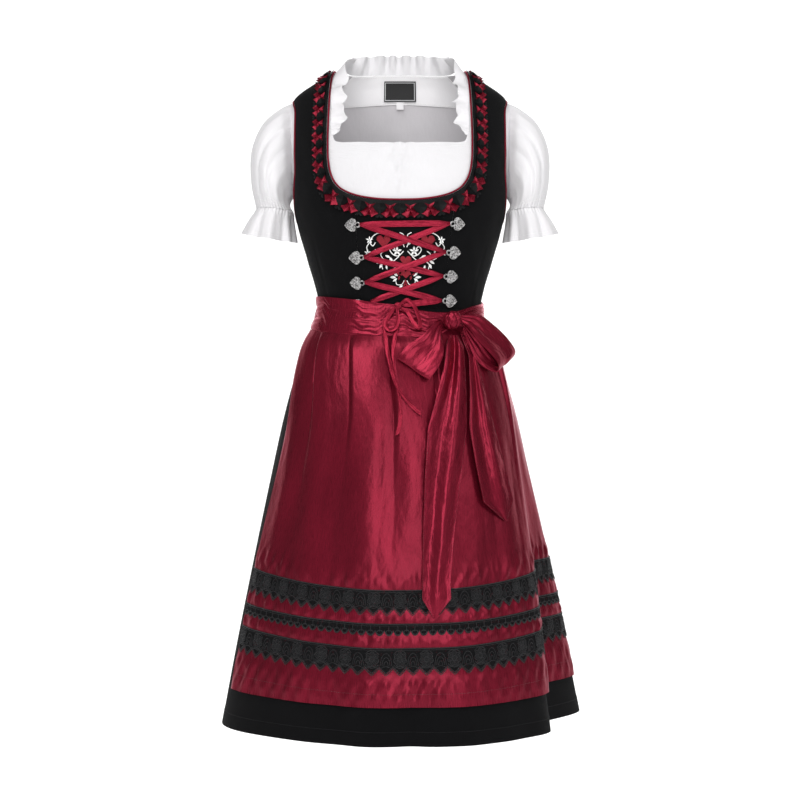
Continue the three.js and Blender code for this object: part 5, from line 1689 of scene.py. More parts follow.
@dataclass
class Sleeve:
    """A puffed sleeve, gathered at the armhole and at the elastic, with its frill below."""

    bench: Workbench
    name: str
    side: int
    armhole: Chart
    slant: float = 6.5
    rings: Chart = Chart(
        ("ring", "out_x", "out_drop", "in_x", "in_drop", "depth", "gather"),
        (
            (1, 174, 48, 170, 194, 34, 0.5), (2, 191, 56, 173, 199, 56, 1.5), (3, 219, 82, 176, 206, 69, 2),
            (4, 236, 124, 176, 211, 71, 2), (5, 237, 172, 174, 216, 65, 1.8), (6, 229, 215, 171, 221, 53, 1)
        )
    )
    frill: Chart = Chart(
        ("ring", "out_x", "out_drop", "in_x", "in_drop", "depth", "gather"),
        ((0, 229, 215.6, 171, 221.6, 53, 1), (1, 240, 233, 170, 241, 59, 4), (2, 250, 254, 167, 268, 66, 7))
    )

    def ring_points(self, rings: Chart, ring: Points, turn: Points, swell: Points) -> Points:
        """Points round the sleeve; swell is how far each stands out in millimetres.

        Args:
            rings: the chart of rings.
            ring: places down the chart.
            turn: angles round the sleeve.
            swell: distances outward.

        Returns:
            The points.
        """
        read = partial(rings.read, at=ring)
        size = 1 + swell / read("depth")
        wide = np.cos(turn) * size / 2
        return np.stack(
            [
                self.side * ((read("out_x") + read("in_x")) / 2 + (read("out_x") - read("in_x")) * wide),
                -read("depth") * np.sin(turn) * size + 3,
                -((read("out_drop") + read("in_drop")) / 2 + (read("out_drop") - read("in_drop")) * wide)
            ],
            -1
        )

    def at_armhole(self, turn: Points) -> Points:
        """Points along the blouse's armhole."""
        drop = mix(46.0, 190.0, (1 - np.cos(turn)) / 2)
        angle = np.where(
            np.sin(turn) > 0, self.armhole.read("front", drop) - 0.7, self.armhole.read("back", drop) + 0.7
        )
        return self.bench.form.skin(self.side * angle, drop, -3.1)

    def gathering(self, turn: Points, count: float, seed: int, second: float = 0.35) -> Points:
        """Uneven gathers round the sleeve between -1 and 1."""
        chance = np.random.default_rng(seed)
        bend = sum(chance.uniform(0.2, 0.5) * np.sin(k * turn + chance.uniform(0, 6.3)) for k in (1, 2, 3))
        return 0.75 * np.cos(count * turn + 2.2 * bend) + second * np.cos((count * 2 + 3) * turn + 3 * bend)

    def build(self) -> None:
        """Builds the puff and its frill."""
        bench = self.bench
        turn = np.linspace(0, 2 * math.pi, 331)[:-1][None, :]
        ring = np.linspace(1, 6, 62)[:, None]
        depth = self.rings.read("gather", ring)
        near_top, near_end = 1 - soft_step(ring, 1, 2.1), soft_step(ring, 5.1, 6)
        folds = self.gathering(turn, 9, 3, 0.2) * depth * 1.05 * (1 - 0.5 * near_end)
        tight = self.gathering(turn, 36, 5) * (0.35 * near_top + 0.85 * near_end)
        soft = 1.5 * ripples(np.degrees(turn), ring * 40, 8, 190, 110) * (1 - near_end) * (1 - near_top)
        puff = self.ring_points(self.rings, ring, turn, folds + tight + soft)
        start = self.at_armhole(turn[0])
        ease = np.linspace(0, 1, 9)[:-1, None, None]
        rows = np.concatenate([start * (1 - ease) + puff[0] * ease, puff])
        middle = puff.mean(axis=(0, 1))
        cloth = Cloth(rows, rows - middle, closed=True)
        lines = Lines()
        for row in (-2, -5, -8):
            lines.add(cloth.lifted(np.full(rows.shape[:2], 0.5)).points[row], 0.3, True)
        sewn = bench.sew(f"sleeve_{self.name}_stitches", lines, bench.finishes.white_thread, 2.4, 1.7, 0.5)
        bench.hang(
            f"sleeve_{self.name}_cloth", cloth, 0.8, bench.finishes.white, Held.GATHERED,
            ["blouse_front_cloth"], [f"sleeve_{self.name}"], [sewn]
        )
        ring = np.linspace(0, 2, 34)[:, None]
        depth = self.frill.read("gather", ring)
        folds = self.gathering(turn, 8, 6, 0.12) * depth * 1.15
        tight = 0.85 * self.gathering(turn, 36, 5) * (1 - soft_step(ring, 0, 0.7))
        frill = self.ring_points(self.frill, ring, turn, folds + tight)
        frill[..., 2] -= self.slant * np.sin(turn) * ring / 2
        cloth = Cloth(frill, frill - frill.mean(axis=(0, 1)), closed=True)
        lines = Lines()
        lines.add(cloth.lifted(np.full(frill.shape[:2], 0.5)).points[-5], 0.3, True)
        sewn = bench.sew(f"cuff_{self.name}_stitches", lines, bench.finishes.white_thread, 2.6, 2.0, 0.5)
        bench.hang(
            f"cuff_{self.name}_cloth", cloth, 0.8, bench.finishes.white, Held.GATHERED,
            [f"sleeve_{self.name}_cloth"], [f"cuff_ruffle_{self.name}"], [sewn]
        )


# Dress

NECKLINE = Chart(
    ("step", "x", "drop"),
    (
        (0, 106, -5), (1, 111, 14), (2, 113, 45), (3, 114.5, 85), (4, 115, 125), (5, 113.5, 155),
        (6, 108, 178), (7, 97, 195), (8, 80, 206), (9, 58, 213), (10, 30, 217), (11, 0, 218)
    )
)
BACK_NECKLINE = Chart(
    ("step", "x", "drop"),
    ((0, 106, -5), (1, 108, 14), (2, 104, 36), (3, 92, 56), (4, 70, 70), (5, 38, 78), (6, 0, 80))
)
ARMHOLE = Chart(
    ("drop", "front", "back"),
    (
        (38, 90, 90), (48, 82, 100), (62, 77.5, 106), (90, 74.8, 110), (130, 72.8, 111), (165, 72.2, 109),
        (195, 76, 105), (220, 81.5, 99), (240, 90, 90)
    )
)
ARMHOLE_ENDS = (38.0, 240.0)
PANEL_SEAMS = {"left": (8.4, -71.0, -60.0), "right": (7.7, 85.0, 66.0)}


@dataclass
class Bodice:
    """The black bodice: two fronts, two backs and the pleated middle panel."""

    bench: Workbench
    thickness: float = 1.3
    lift: float = -0.75

    def hang(
        self, name: str, node: str, angle: Points, drop: Points, raised: Points, rests_on: str
    ) -> Cloth:
        """Makes one panel of the bodice and its edge stitches.

        Args:
            name: the piece's name.
            node: the frame's node.
            angle: angles of its grid.
            drop: drops of its grid.
            raised: its relief.
            rests_on: the piece it lies on.

        Returns:
            The sheet.
        """
        form, bench = self.bench.form, self.bench
        cloth = Cloth(form.skin(angle, drop, self.lift + raised), form.outward(angle, drop))
        bench.hang(name, cloth, self.thickness, bench.finishes.cotton, Held.STRETCHED, [rests_on], [node])
        return cloth

    def halves(self) -> None:
        """Makes the fronts and backs."""
        form = self.bench.form
        for name, side in (("left", -1), ("right", 1)):
            step, top, waist = PANEL_SEAMS[name]
            front = HalfPanel(
                form, NECKLINE, ARMHOLE, "front", False, (0, 0.4, 1, 2, 3, 4, 5, 6, 7, step),
                (226, 252, 280, 310, 342, 362, 378),
                (38, 45, 57, 82, 114, 146, 174, 197, 219, 240, 252, 270, 292, 317, 345, 363, 378),
                seam=(abs(top), abs(waist))
            )
            angle, drop = front.grid(110, 60, side)
            raised = 0.35 * ripples(angle, drop, 12) * soft_step(drop, 60, 120)
            away = np.abs(np.abs(angle) - 62)
            dart = -0.9 * np.exp(-((away / 0.9) ** 2)) * soft_step(drop, 250, 300)
            self.hang(
                f"bodice_front_{name}_cloth", f"bodice_front_{name}", angle, drop, raised + dart,
                "blouse_front_cloth"
            )
            back = HalfPanel(
                form, BACK_NECKLINE, ARMHOLE, "back", True, (0, 0.5, 1, 2, 3, 4, 5, 6),
                (125, 180, 235, 285, 328, 358, 378),
                (38, 46, 60, 88, 120, 155, 190, 217, 240, 262, 288, 316, 340, 361, 378), gap=1.2
            )
            angle, drop = back.grid(100, 60, side)
            away = np.abs(np.abs(angle) - 140)
            dart = -0.9 * np.exp(-((away / 0.8) ** 2)) * soft_step(drop, 150, 210)
            raised = 0.3 * ripples(angle, drop, 15)
            self.hang(
                f"bodice_back_{name}_cloth", f"bodice_back_{name}", angle, drop, raised + dart,
                "blouse_back_cloth"
            )

    def seam(self, name: str, drop: Points, side: int) -> Points:
        """Angle of the middle panel's edge on one side."""
        return seam_at(self.bench.form, *PANEL_SEAMS[name][1:], drop) - side * SEAM_ANGLE * 1.2

    def middle_grid(self, across: Points, down: Points) -> tuple[Points, Points]:
        """Angles and drops over the middle panel.

        Args:
            across: shares across the panel.
            down: shares down it.

        Returns:
            The angle and the drop at each corner.
        """
        form = self.bench.form
        left, right = self.seam("left", np.array(225.0), -1), self.seam("right", np.array(225.0), 1)
        neck_x = np.abs(form.face(mix(left, right, across), np.full(across.shape, 215.0))[..., 0])
        steps = np.linspace(7, 11, 400)
        places = NECKLINE.read("x", steps)
        step = np.interp(-neck_x, -places, steps)
        top = NECKLINE.read("drop", step)
        drop = mix(top[None, :], WAIST_DROP, down[:, None])
        start, end = self.seam("left", drop[:, 0], -1), self.seam("right", drop[:, 0], 1)
        return mix(start[:, None], end[:, None], across[None, :]), drop

    def build(self) -> None:
        """Builds every panel."""
        self.halves()
        across, down = np.linspace(0, 1, 141), np.linspace(0, 1, 91)
        angle, drop = self.middle_grid(across, down)
        pleat = 1.9 * (hump(across, 0.105, 0.045) + hump(across, 0.895, 0.045))
        crease = -0.5 * (hump(across, 0.045, 0.012) + hump(across, 0.955, 0.012))
        raised = (pleat + crease)[None, :] * (down**2)[:, None]
        self.hang("bodice_panel_cloth", "bodice_panel", angle, drop, raised, "bodice_front_left_cloth")


@dataclass
class NeckTrim:
    """The pinched ribbon trim round the front neckline, and the piping beside it."""

    bench: Workbench
    count: int = 28
    length: float = 28.0
    pitch: Chart = Chart(("step", "pitch"), ((0, 22.5), (5, 22.5), (6.5, 28.5), (11, 28.5)))
    star: Chart = Chart(
        ("corner", "x", "y", "high"),
        (
            (0, 14.0, 18.6, 1.6), (1, 9.4, 21.6, 3.4), (2, 5.4, 25.2, 4.8), (3, 0, 21.0, 0.9),
            (4, -5.4, 25.2, 4.8), (5, -9.4, 21.6, 3.4), (6, -14.0, 18.6, 1.6), (7, -4.4, 10.0, 1.7),
            (8, -9.4, 3.2, 3.4), (9, 0, 6.4, 0.9), (10, 9.4, 3.2, 3.4), (11, 4.4, 10.0, 1.7)
        )
    )
    mouth: Chart = Chart(
        ("corner", "x", "y", "high"),
        (
            (0, 11.0, 9.6, 4.4), (1, 6.4, 15.8, 4.0), (2, 0, 20.0, 1.8), (3, -6.4, 15.8, 4.0),
            (4, -11.0, 9.6, 4.4), (5, -6.6, 3.8, 4.8), (6, 0, 2.6, 2.6), (7, 6.6, 3.8, 4.8)
        )
    )

    fan: Chart = Chart(
        ("corner", "x", "y", "high"),
        (
            (0, 6.0, 24.6, 2.2), (1, 2.4, 26.0, 3.4), (2, 0, 24.6, 1.4), (3, -2.4, 26.0, 3.4),
            (4, -6.0, 24.6, 2.2), (5, -2.6, 20.6, 2.4), (6, 2.6, 20.6, 2.4)
        )
    )

    def stop(self, step: Points, outward: float, lift: float, side: int) -> Points:
        """Points beside the neckline, moved along the bodice away from the opening.

        Args:
            step: steps along the neckline.
            outward: distance from its edge.
            lift: distance off the form.
            side: 1 for the +X half, -1 for the other.

        Returns:
            The points.
        """
        form = self.bench.form
        step = np.atleast_1d(np.asarray(step, float))

        def place(at: Points) -> tuple[Points, Points]:
            """Angle and drop at a step of the front neckline."""
            at = np.clip(at, 0, 11)
            x, drop = NECKLINE.read("x", at), NECKLINE.read("drop", at)
            return np.where(x < 0.5, 0.0, form.angle_at(np.maximum(x, 1e-3), drop)), drop

        before, middle, after = place(step - 0.1), place(step), place(step + 0.1)
        path = unit(form.face(*after) - form.face(*before))
        edge = form.face(*middle)
        away = -np.cross(path, form.outward(*middle))
        target = edge + away * outward
        angle = np.degrees(np.arctan2(target[:, 0], -target[:, 1]))
        return form.skin(side * angle, -target[:, 2], lift)

    def boundaries(self, fine: int = 440) -> Points:
        """Steps of the half units along one half of the neckline, from the middle to the shoulder."""
        steps = np.linspace(0, 11, fine + 1)
        path = self.stop(steps, 12, 0, 1)
        spans = np.linalg.norm(np.diff(path, axis=0), axis=-1)
        units = np.r_[0, np.cumsum(spans / self.pitch.read("pitch", steps[1:]))]
        return np.interp(np.linspace(units[-1], 0, self.count + 1), units, steps)

    def facets(self, outline: Chart, centre: tuple[float, float, float], dip: float) -> bpy.types.Mesh:
        """A pinched patch whose creases run from its centre to its corners.

        Args:
            outline: corners of the patch with their heights.
            centre: x, y and height of its centre.
            dip: how far the middle of each ray sinks below a straight crease.

        Returns:
            The patch as a thin shell.
        """
        corners = np.array([row[1:] for row in outline.rows])
        corners = np.concatenate([corners, corners[:1]])
        at = np.linspace(0, len(corners) - 1, (len(corners) - 1) * 4 + 1)[:-1]
        rim = np.stack([np.interp(at, np.arange(len(corners)), corners[:, i]) for i in range(3)], -1)
        share = np.linspace(0.02, 1, 9)[:, None, None]
        grid = np.asarray(centre) + (rim[None] - centre) * share
        grid[..., 2] -= dip * (share * (1 - share) * 4)[..., 0]
        return Cloth(grid, np.array([0.0, 0.0, 1.0]), closed=True).mesh("patch", 0.45)

    def frame_at(self, step: float, side: int) -> tuple[Points, Points, Points, Points]:
        """Point on the edge, and the ways along, away and out, at a step of the neckline.

        Args:
            step: the step.
            side: the half.

        Returns:
            The point and the three directions.
        """
        here = self.stop(step, 0.5, 0.5, side)[0]
        far = self.stop(step, 20, 0.5, side)[0]
        near = self.stop(max(step - 0.08, 0.0), 12, 0.5, side)[0]
        ahead = self.stop(min(step + 0.08, 11.0), 12, 0.5, side)[0]
        away = unit(far - here)
        along = np.array([1.0, 0.0, 0.0]) if step > 10.9 else unit(ahead - near)
        out = unit(np.cross(along, away)) * (1.0 if np.cross(along, away)[1] < 0 else -1.0)
        return here, np.cross(away, out), away, out

    def places(self, odd: bool) -> Places:
        """Places of the stars (odd half units) or of the mouths between them.

        Args:
            odd: whether the odd half units are wanted.

        Returns:
            The places.
        """
        stops = self.boundaries()
        found = Places()
        for side in (-1, 1):
            for index in range(1 if odd else 0, self.count + 1, 2):
                if index == 0 and side < 0:
                    continue
                step = float(stops[index])
                here, across, _, out = self.frame_at(step, side)
                wide = float(self.pitch.read("pitch", step)) / self.length
                if index == self.count:
                    wide *= 0.8
                found.add(here, across, out, (wide, mix(1.0, wide, 0.7), 1.0))
        return found

    def build(self) -> None:
        """Builds the stars, the black mouths and fans, and the strip that they are sewn on."""
        bench = self.bench
        stars = bench.place(
            "trim_stars", self.facets(self.star, (0, 14.0, 4.4), 0.7), self.places(True),
            bench.finishes.trim_satin, 0.035, 4
        )
        bench.put("trim_stars", stars, bench.finishes.trim_satin, ["neck_trim_ruffle"])
        mouths = [
            bench.place(
                "trim_mouths", self.facets(self.mouth, (0, 9.8, 1.0), 0.35), self.places(False),
                bench.finishes.trim_black, 0.03, 6
            ),
            bench.place(
                "trim_fans", self.facets(self.fan, (0, 22.6, 2.4), 0.3), self.places(False),
                bench.finishes.trim_black, 0.03, 7
            )
        ]
        steps = np.linspace(0.02, 11, 160)
        strips = []
        for side in (-1, 1):
            rows = np.stack([self.stop(steps, out, 0.7, side) for out in np.linspace(-1.4, 23.5, 8)], 0)
            strip = Cloth(rows, np.array([0.0, -1.0, 0.35])).mesh("strip", 0.6)
            strip.materials.append(bench.finishes.trim_black.material())
            strips.append(strip)
        bench.put(
            "trim_mouths", joined("trim_mouths", [*mouths, *strips]), bench.finishes.trim_black,
            ["neck_trim_mouths"]
        )


@dataclass
class Piping:
    """Satin piping round the neckline and the armholes."""

    bench: Workbench
    radius: float = 1.5

    def beside(self, place: object, steps: Points, side: int, towards: float) -> Points:
        """Points of a piping beside an edge whose place gives its angle and drop.

        Args:
            place: gives angle and drop at a step.
            steps: steps along the edge.
            side: the half.
            towards: which side of the edge.

        Returns:
            The points.
        """
        form = self.bench.form
        before, here, after = place(steps - 0.05), place(steps), place(steps + 0.05)
        path = unit(form.face(*after) - form.face(*before))
        away = unit(np.cross(path, form.outward(*here))) * towards * (self.radius + 1.8)
        points = form.skin(*here, -0.75) + away
        points[:, 0] *= side
        return points

    def neck(self) -> None:
        """Lays the piping round the neckline."""
        form = self.bench.form

        def place(at: Points) -> tuple[Points, Points]:
            """Angle and drop at a step, below 0 on the back."""
            size = np.abs(at)
            x = np.where(at < 0, BACK_NECKLINE.read("x", size), NECKLINE.read("x", size))
            drop = np.where(at < 0, BACK_NECKLINE.read("drop", size), NECKLINE.read("drop", size))
            x = np.maximum(x, 0.3)
            return np.where(at < 0, form.angle_at(x, drop, True), form.angle_at(x, drop)), drop

        steps = np.r_[
            np.linspace(-5.93, -0.5, 50), np.linspace(-0.42, 0.42, 5), np.linspace(0.5, 10.93, 110)
        ]
        right = self.beside(place, steps, 1, 1)
        smooth = right.copy()
        smooth[1:-1] = (right[:-2] + 2 * right[1:-1] + right[2:]) / 4
        left = smooth * [-1, 1, 1]
        lines = Lines()
        lines.add(np.concatenate([smooth, left[::-1]]), self.radius, True)
        self.bench.lay("neck_piping_cord", lines, self.bench.finishes.cord_satin, 12, ["neck_piping"])

    def armholes(self) -> None:
        """Lays the piping round both armholes."""

        def place(at: Points) -> tuple[Points, Points]:
            """Angle and drop at a turn round the armhole, from 0 to 2."""
            turn = math.pi * (1 + at)
            drop = mix(*ARMHOLE_ENDS, (1 - np.cos(turn)) / 2)
            front, back = ARMHOLE.read("front", drop), ARMHOLE.read("back", drop)
            return np.where(np.sin(turn) > 0, front, back), drop

        for name, side in (("left", -1), ("right", 1)):
            lines = Lines()
            lines.add(self.beside(place, np.linspace(0.012, 1.988, 120), side, -1), self.radius, True)
            cord = f"armhole_piping_{name}"
            self.bench.lay(cord + "_cord", lines, self.bench.finishes.cord_satin, 10, [cord])

    def build(self) -> None:
        """Builds all the piping."""
        self.neck()
        self.armholes()


def arc(centre: tuple[float, float], radius: float, start: float, end: float, count: int = 12) -> Points:
    """Points of an arc in a plane; its angles are degrees."""
    turn = np.radians(np.linspace(start, end, count))
    return np.stack(
        [centre[0] + radius * np.cos(turn), centre[1] + radius * np.sin(turn), np.zeros(count)], -1
    )


def spiral(
    centre: tuple[float, float], radius: float, start: float, turns: float, count: int = 24
) -> Points:
    """Points of a spiral that winds in to its centre.

    Args:
        centre: its centre.
        radius: its first radius.
        start: its first angle in degrees.
        turns: how often it winds.
        count: number of points.

    Returns:
        The points.
    """
    share = np.linspace(0, 1, count)
    turn = math.radians(start) + share * turns * 2 * math.pi
    size = radius * (1 - 0.85 * share)
    return np.stack([centre[0] + size * np.cos(turn), centre[1] + size * np.sin(turn), np.zeros(count)], -1)


def raised(points: Points, high: float) -> Points:
    """Points of a plane drawing at one height."""
    return np.c_[points[:, :2], np.full(len(points), high)]


@dataclass
class Hooks:
    """Eight cast filigree hearts lying on their side, each with a ring that holds the ribbon."""

    bench: Workbench
    outline: tuple = (
        (19, 0), (16.8, 3.0), (14, 5.8), (9.2, 9.2), (5.2, 9.3), (2.4, 7.2), (2.0, 4.2), (4.2, 1.2),
        (5.0, 0)
    )
    vein: tuple = ((8.0, 0.4), (10.4, 1.0), (14.8, 0.7), (16.8, 0.2))
    rows: tuple = (
        ("left_1", -65, 253, -1, 0.9), ("left_2", -59, 302, -1, 0.9), ("left_3", -58, 340, -1, 1.2),
        ("left_4", -57, 375, -1, 2.6), ("right_1", 80, 251, 1, 0.9), ("right_2", 74, 294, 1, 0.9),
        ("right_3", 70, 330, 1, 1.0), ("right_4", 68, 367, 1, 2.0)
    )

    def shape(self) -> bpy.types.Mesh:
        """One hook: a corded heart with scrolls inside, a dark back plate and a ring.

        Returns:
            The hook's mesh.
        """
        curve = resampled(self.outline, 40)
        heart = np.concatenate([curve, curve[::-1][1:-1] * [1, -1]])
        lines = Lines()
        lines.add(raised(heart, 1.3), 0.6, True)
        lines.add(raised((heart - [10.4, 0]) * 0.8 + [10.4, 0], 1.5), 0.24, True)
        for sign in (-1, 1):
            lines.add(raised(spiral((7.4, 4.6 * sign), 3.0, 200 * sign, -1.6 * sign), 1.9), 0.36)
            lines.add(raised(spiral((12.2, 2.7 * sign), 2.3, 20 * sign, 1.5 * sign), 1.9), 0.32)
            lines.add(raised(np.array(self.vein) * [1, sign], 2.0), 0.3)
        lines.add(raised(arc((9.6, 0), 1.0, 0, 345, 14), 2.4), 0.5, True)
        lines.add(raised(arc((-1, 0), 3.7, 0, 350, 40), 1.3), 0.85, True)
        lines.add(raised(arc((-1, 0), 2.7, 0, 350, 40), 1.9), 0.3, True)
        lines.add(raised(np.array([(2.4, -1.6), (3.4, 0), (2.4, 1.6)]), 1.5), 0.9)
        threads = self.bench.threads.run(
            lines.carrier("hook"), Sides=8, Material=self.bench.finishes.silver.material()
        )
        share = np.linspace(0.02, 1, 8)[:, None, None]
        plate = np.array([10.4, 0.0, 1.1]) + (raised(heart, 0.7) - [10.4, 0.0, 1.1]) * share
        back = Cloth(plate, np.array([0.0, 0.0, 1.0]), closed=True).mesh("plate", 0.8)
        back.materials.append(self.bench.finishes.patina.material())
        return joined("hook", [threads, back])

    def build(self) -> None:
        """Places the hooks beside the middle panel."""
        form, places = self.bench.form, Places()
        for _, x, drop, outward, lift in self.rows:
            across, _, out = form.front_axes(x + outward * 9.0, float(drop))
            seat = form.front(x + outward * 9.0, float(drop), 0.0)
            places.add(seat - across * 9 * outward + out * lift, across * outward, out)
        mesh = self.bench.place("hooks", self.shape(), places, self.bench.finishes.silver)
        nodes = [f"hook_{row[0]}" for row in self.rows]
        self.bench.put("filigree_hooks", mesh, self.bench.finishes.silver, nodes)


@dataclass
class Embroidery:
    """Red hearts and blossoms with white scrolls and leaf sprays on the middle panel."""

    bench: Workbench
    middle: float = 8.5
    lower: float = 25.0
    scrolls: tuple = (
        (0.75, ((33, 241), (42, 241), (50, 246), (54, 254), (50, 260), (46, 255))),
        (0.7, ((54, 254), (59, 261), (58, 268))), (0.7, ((2, 262), (5, 252), (3, 244), (9, 240))),
        (0.8, ((3, 268), (11, 275), (19, 273), (24, 266), (20, 261), (16, 265))),
        (0.75, ((10, 276), (20, 283), (32, 281), (38, 273), (33, 268))),
        (0.7, ((30, 282), (36, 288), (35, 295))), (0.7, ((4, 296), (9, 290), (16, 292), (18, 299))),
        (0.65, ((2, 312), (6, 318), (13, 318), (15, 313)))
    )
    blossoms: tuple = ((55, 251, 5, 4.6), (13, 268, 5, 6.0), (58, 270, 5, 4.0))
    sprays: tuple = (
        (22, 281, 62, 8), (27, 276, 25, 7), (40, 284, -30, 8), (43, 279, 10, 8), (38, 290, -65, 7),
        (15, 303, 40, 7), (19, 307, 5, 8), (16, 311, -35, 7), (7, 321, -25, 6), (45, 268, 70, 6),
        (6, 256, 60, 6), (29, 292, -100, 6)
    )

    def on_panel(self, flat: Points, lift: Points | float) -> Points:
        """Points of a flat drawing laid on the panel; its x runs across and its y down."""
        return self.bench.form.front(self.middle + flat[:, 0], self.lower + flat[:, 1], lift)

    def leaf(self, places: Places, x: float, drop: float, turn: float, size: float) -> None:
        """Adds a leaf or petal that points in a direction, in degrees from across."""
        across, _, out = self.bench.form.front_axes(self.middle + x, self.lower + drop)
        point = self.bench.form.front(self.middle + x, self.lower + drop, 0.45)
        places.add(point, across, out, (size, size, size), turn)

    def petals(self, places: Places, x: float, drop: float, count: int, size: float) -> None:
        """Adds a ring of petals at both sides of the middle."""
        for sign in ((-1, 1) if abs(x) > 1 else (1,)):
            for index in range(count):
                turn = 18 + index * 360 / count
                away = np.array([math.cos(math.radians(turn)), math.sin(math.radians(turn))]) * size * 0.62
                self.leaf(places, sign * x + away[0], drop - away[1], turn, size)

    def padded_leaf(self, finish: Finish) -> bpy.types.Mesh:
        """A leaf of satin stitches, one millimetre long before it is sized.

        Args:
            finish: its thread.

        Returns:
            The leaf's mesh.
        """
        lines = Lines()
        for share in np.linspace(-0.5, 0.5, 15):
            half = 0.23 * math.cos(share * math.pi) ** 0.8 + 0.01
            across = np.linspace(-1, 1, 7)
            lines.add(
                np.stack([share + 0.09 * (1 - across**2), across * half, 0.09 * (1 - across**2)], -1), 0.045
            )
        return self.bench.threads.run(lines.carrier("leaf"), Sides=5, Material=finish.material())

    def heart(self, lines: Lines, x: float, drop: float, size: float) -> None:
        """Adds a heart as rows of satin stitches.

        Args:
            lines: takes the threads.
            x: its place across.
            drop: its drop.
            size: half its width.
        """
        for across in np.linspace(-1, 1, 25):
            top = -0.65 * (1 - (abs(across) * 2 - 1) ** 2) ** 0.5 if abs(across) > 0.02 else -0.13
            low = 1.05 * (1 - abs(across) ** 1.25)
            share = np.linspace(0, 1, 8)
            flat = np.stack([x + across * size + 0.6 * share, drop + mix(top, low, share) * size], -1)
            crown = 0.5 + 0.08 * size * np.sin(share * math.pi)
            lines.add(self.on_panel(flat, crown), 0.5)

    def build(self) -> None:
        """Builds the whole motif."""
        bench = self.bench
        red, white, leaves, reds = Lines(), Lines(), Places(), Places()
        for x, drop, size in ((-34, 251, 10.5), (34, 251, 10.5), (0, 281, 8.5), (0, 301, 7.0)):
            self.heart(red, x, drop, size)
        for thick, stops in self.scrolls:
            curve = resampled(stops, 9 * len(stops))
            for sign in (-1, 1):
                white.add(self.on_panel(curve * [sign, 1], 0.5), thick)
        for x, drop, count, size in self.blossoms:
            self.petals(leaves, x, drop, count, size)
        for x, drop, turn, size in self.sprays:
            self.leaf(leaves, x, drop, turn, size)
            self.leaf(leaves, -x, drop, 180 - turn, size)
        self.petals(reds, 9, 304, 3, 6.0)
        self.petals(reds, 0, 316, 5, 4.6)
        finishes = bench.finishes
        bench.lay("embroidered_hearts", red, finishes.red_thread, 6)
        bench.lay("embroidered_scrolls", white, finishes.white_thread, 6)
        for name, places, finish in (
            ("embroidered_leaves", leaves, finishes.white_thread),
            ("embroidered_blossoms", reds, finishes.red_thread)
        ):
            bench.put(name, bench.place(name, self.padded_leaf(finish), places, finish, 0.05, 8), finish)


@dataclass
class Skirt:
    """The black skirt: a front and a back that meet at the sides."""

    bench: Workbench
    thickness: float = 1.2
    hem: float = 24.0

    def panel(self, name: str, node: str, start: float, end: float, columns: int) -> None:
        """Makes one panel with its waist gathers, hem fold and hem stitches.

        Args:
            name: the piece's name.
            node: the frame's node.
            start: its first angle.
            end: its last angle.
            columns: spans across.
        """
        form, bench = self.bench.form, self.bench
        angles = mix(start + SEAM_ANGLE / 3, end - SEAM_ANGLE / 3, np.linspace(0, 1, columns + 1))[None, :]
        drops = np.r_[np.linspace(378.5, 470, 26)[:-1], np.linspace(470, HEM_DROP, 80)][:, None]
        fading = np.exp(-(drops - 378) / 60)
        gathers = 0.5 * np.sin(np.radians(angles) * 62 + 1.6 * np.sin(np.radians(angles) * 9)) * fading
        soft = 1.5 * ripples(angles, drops, 21, 420, 26) * soft_step(drops, 420, 620)
        hem = 0.5 * soft_step(drops, HEM_DROP - self.hem - 1, HEM_DROP - self.hem)
        lift = -0.75 + gathers + soft + hem
        angle, drop = np.broadcast_arrays(angles, drops)
        cloth = Cloth(form.skin(angle, drop, lift), form.outward(angle, drop))
        row = int(np.argmin(np.abs(drops[:, 0] - (HEM_DROP - self.hem))))
        lines = Lines()
        lines.add(cloth.lifted(np.full(angle.shape, 0.7)).points[row, 2:-2], 0.3)
        sewn = bench.sew(f"{node}_hem_stitches", lines, bench.finishes.black_thread, 4.0, 3.0, 0.6)
        bench.hang(
            name, cloth, self.thickness, bench.finishes.cotton, Held.HUNG, ["bodice_panel_cloth"], [node],
            [sewn]
        )

    def build(self) -> None:
        """Builds both panels."""
        self.panel("skirt_front_cloth", "skirt_front", -90, 90, 210)
        self.panel("skirt_back_cloth", "skirt_back", 90, 270, 260)


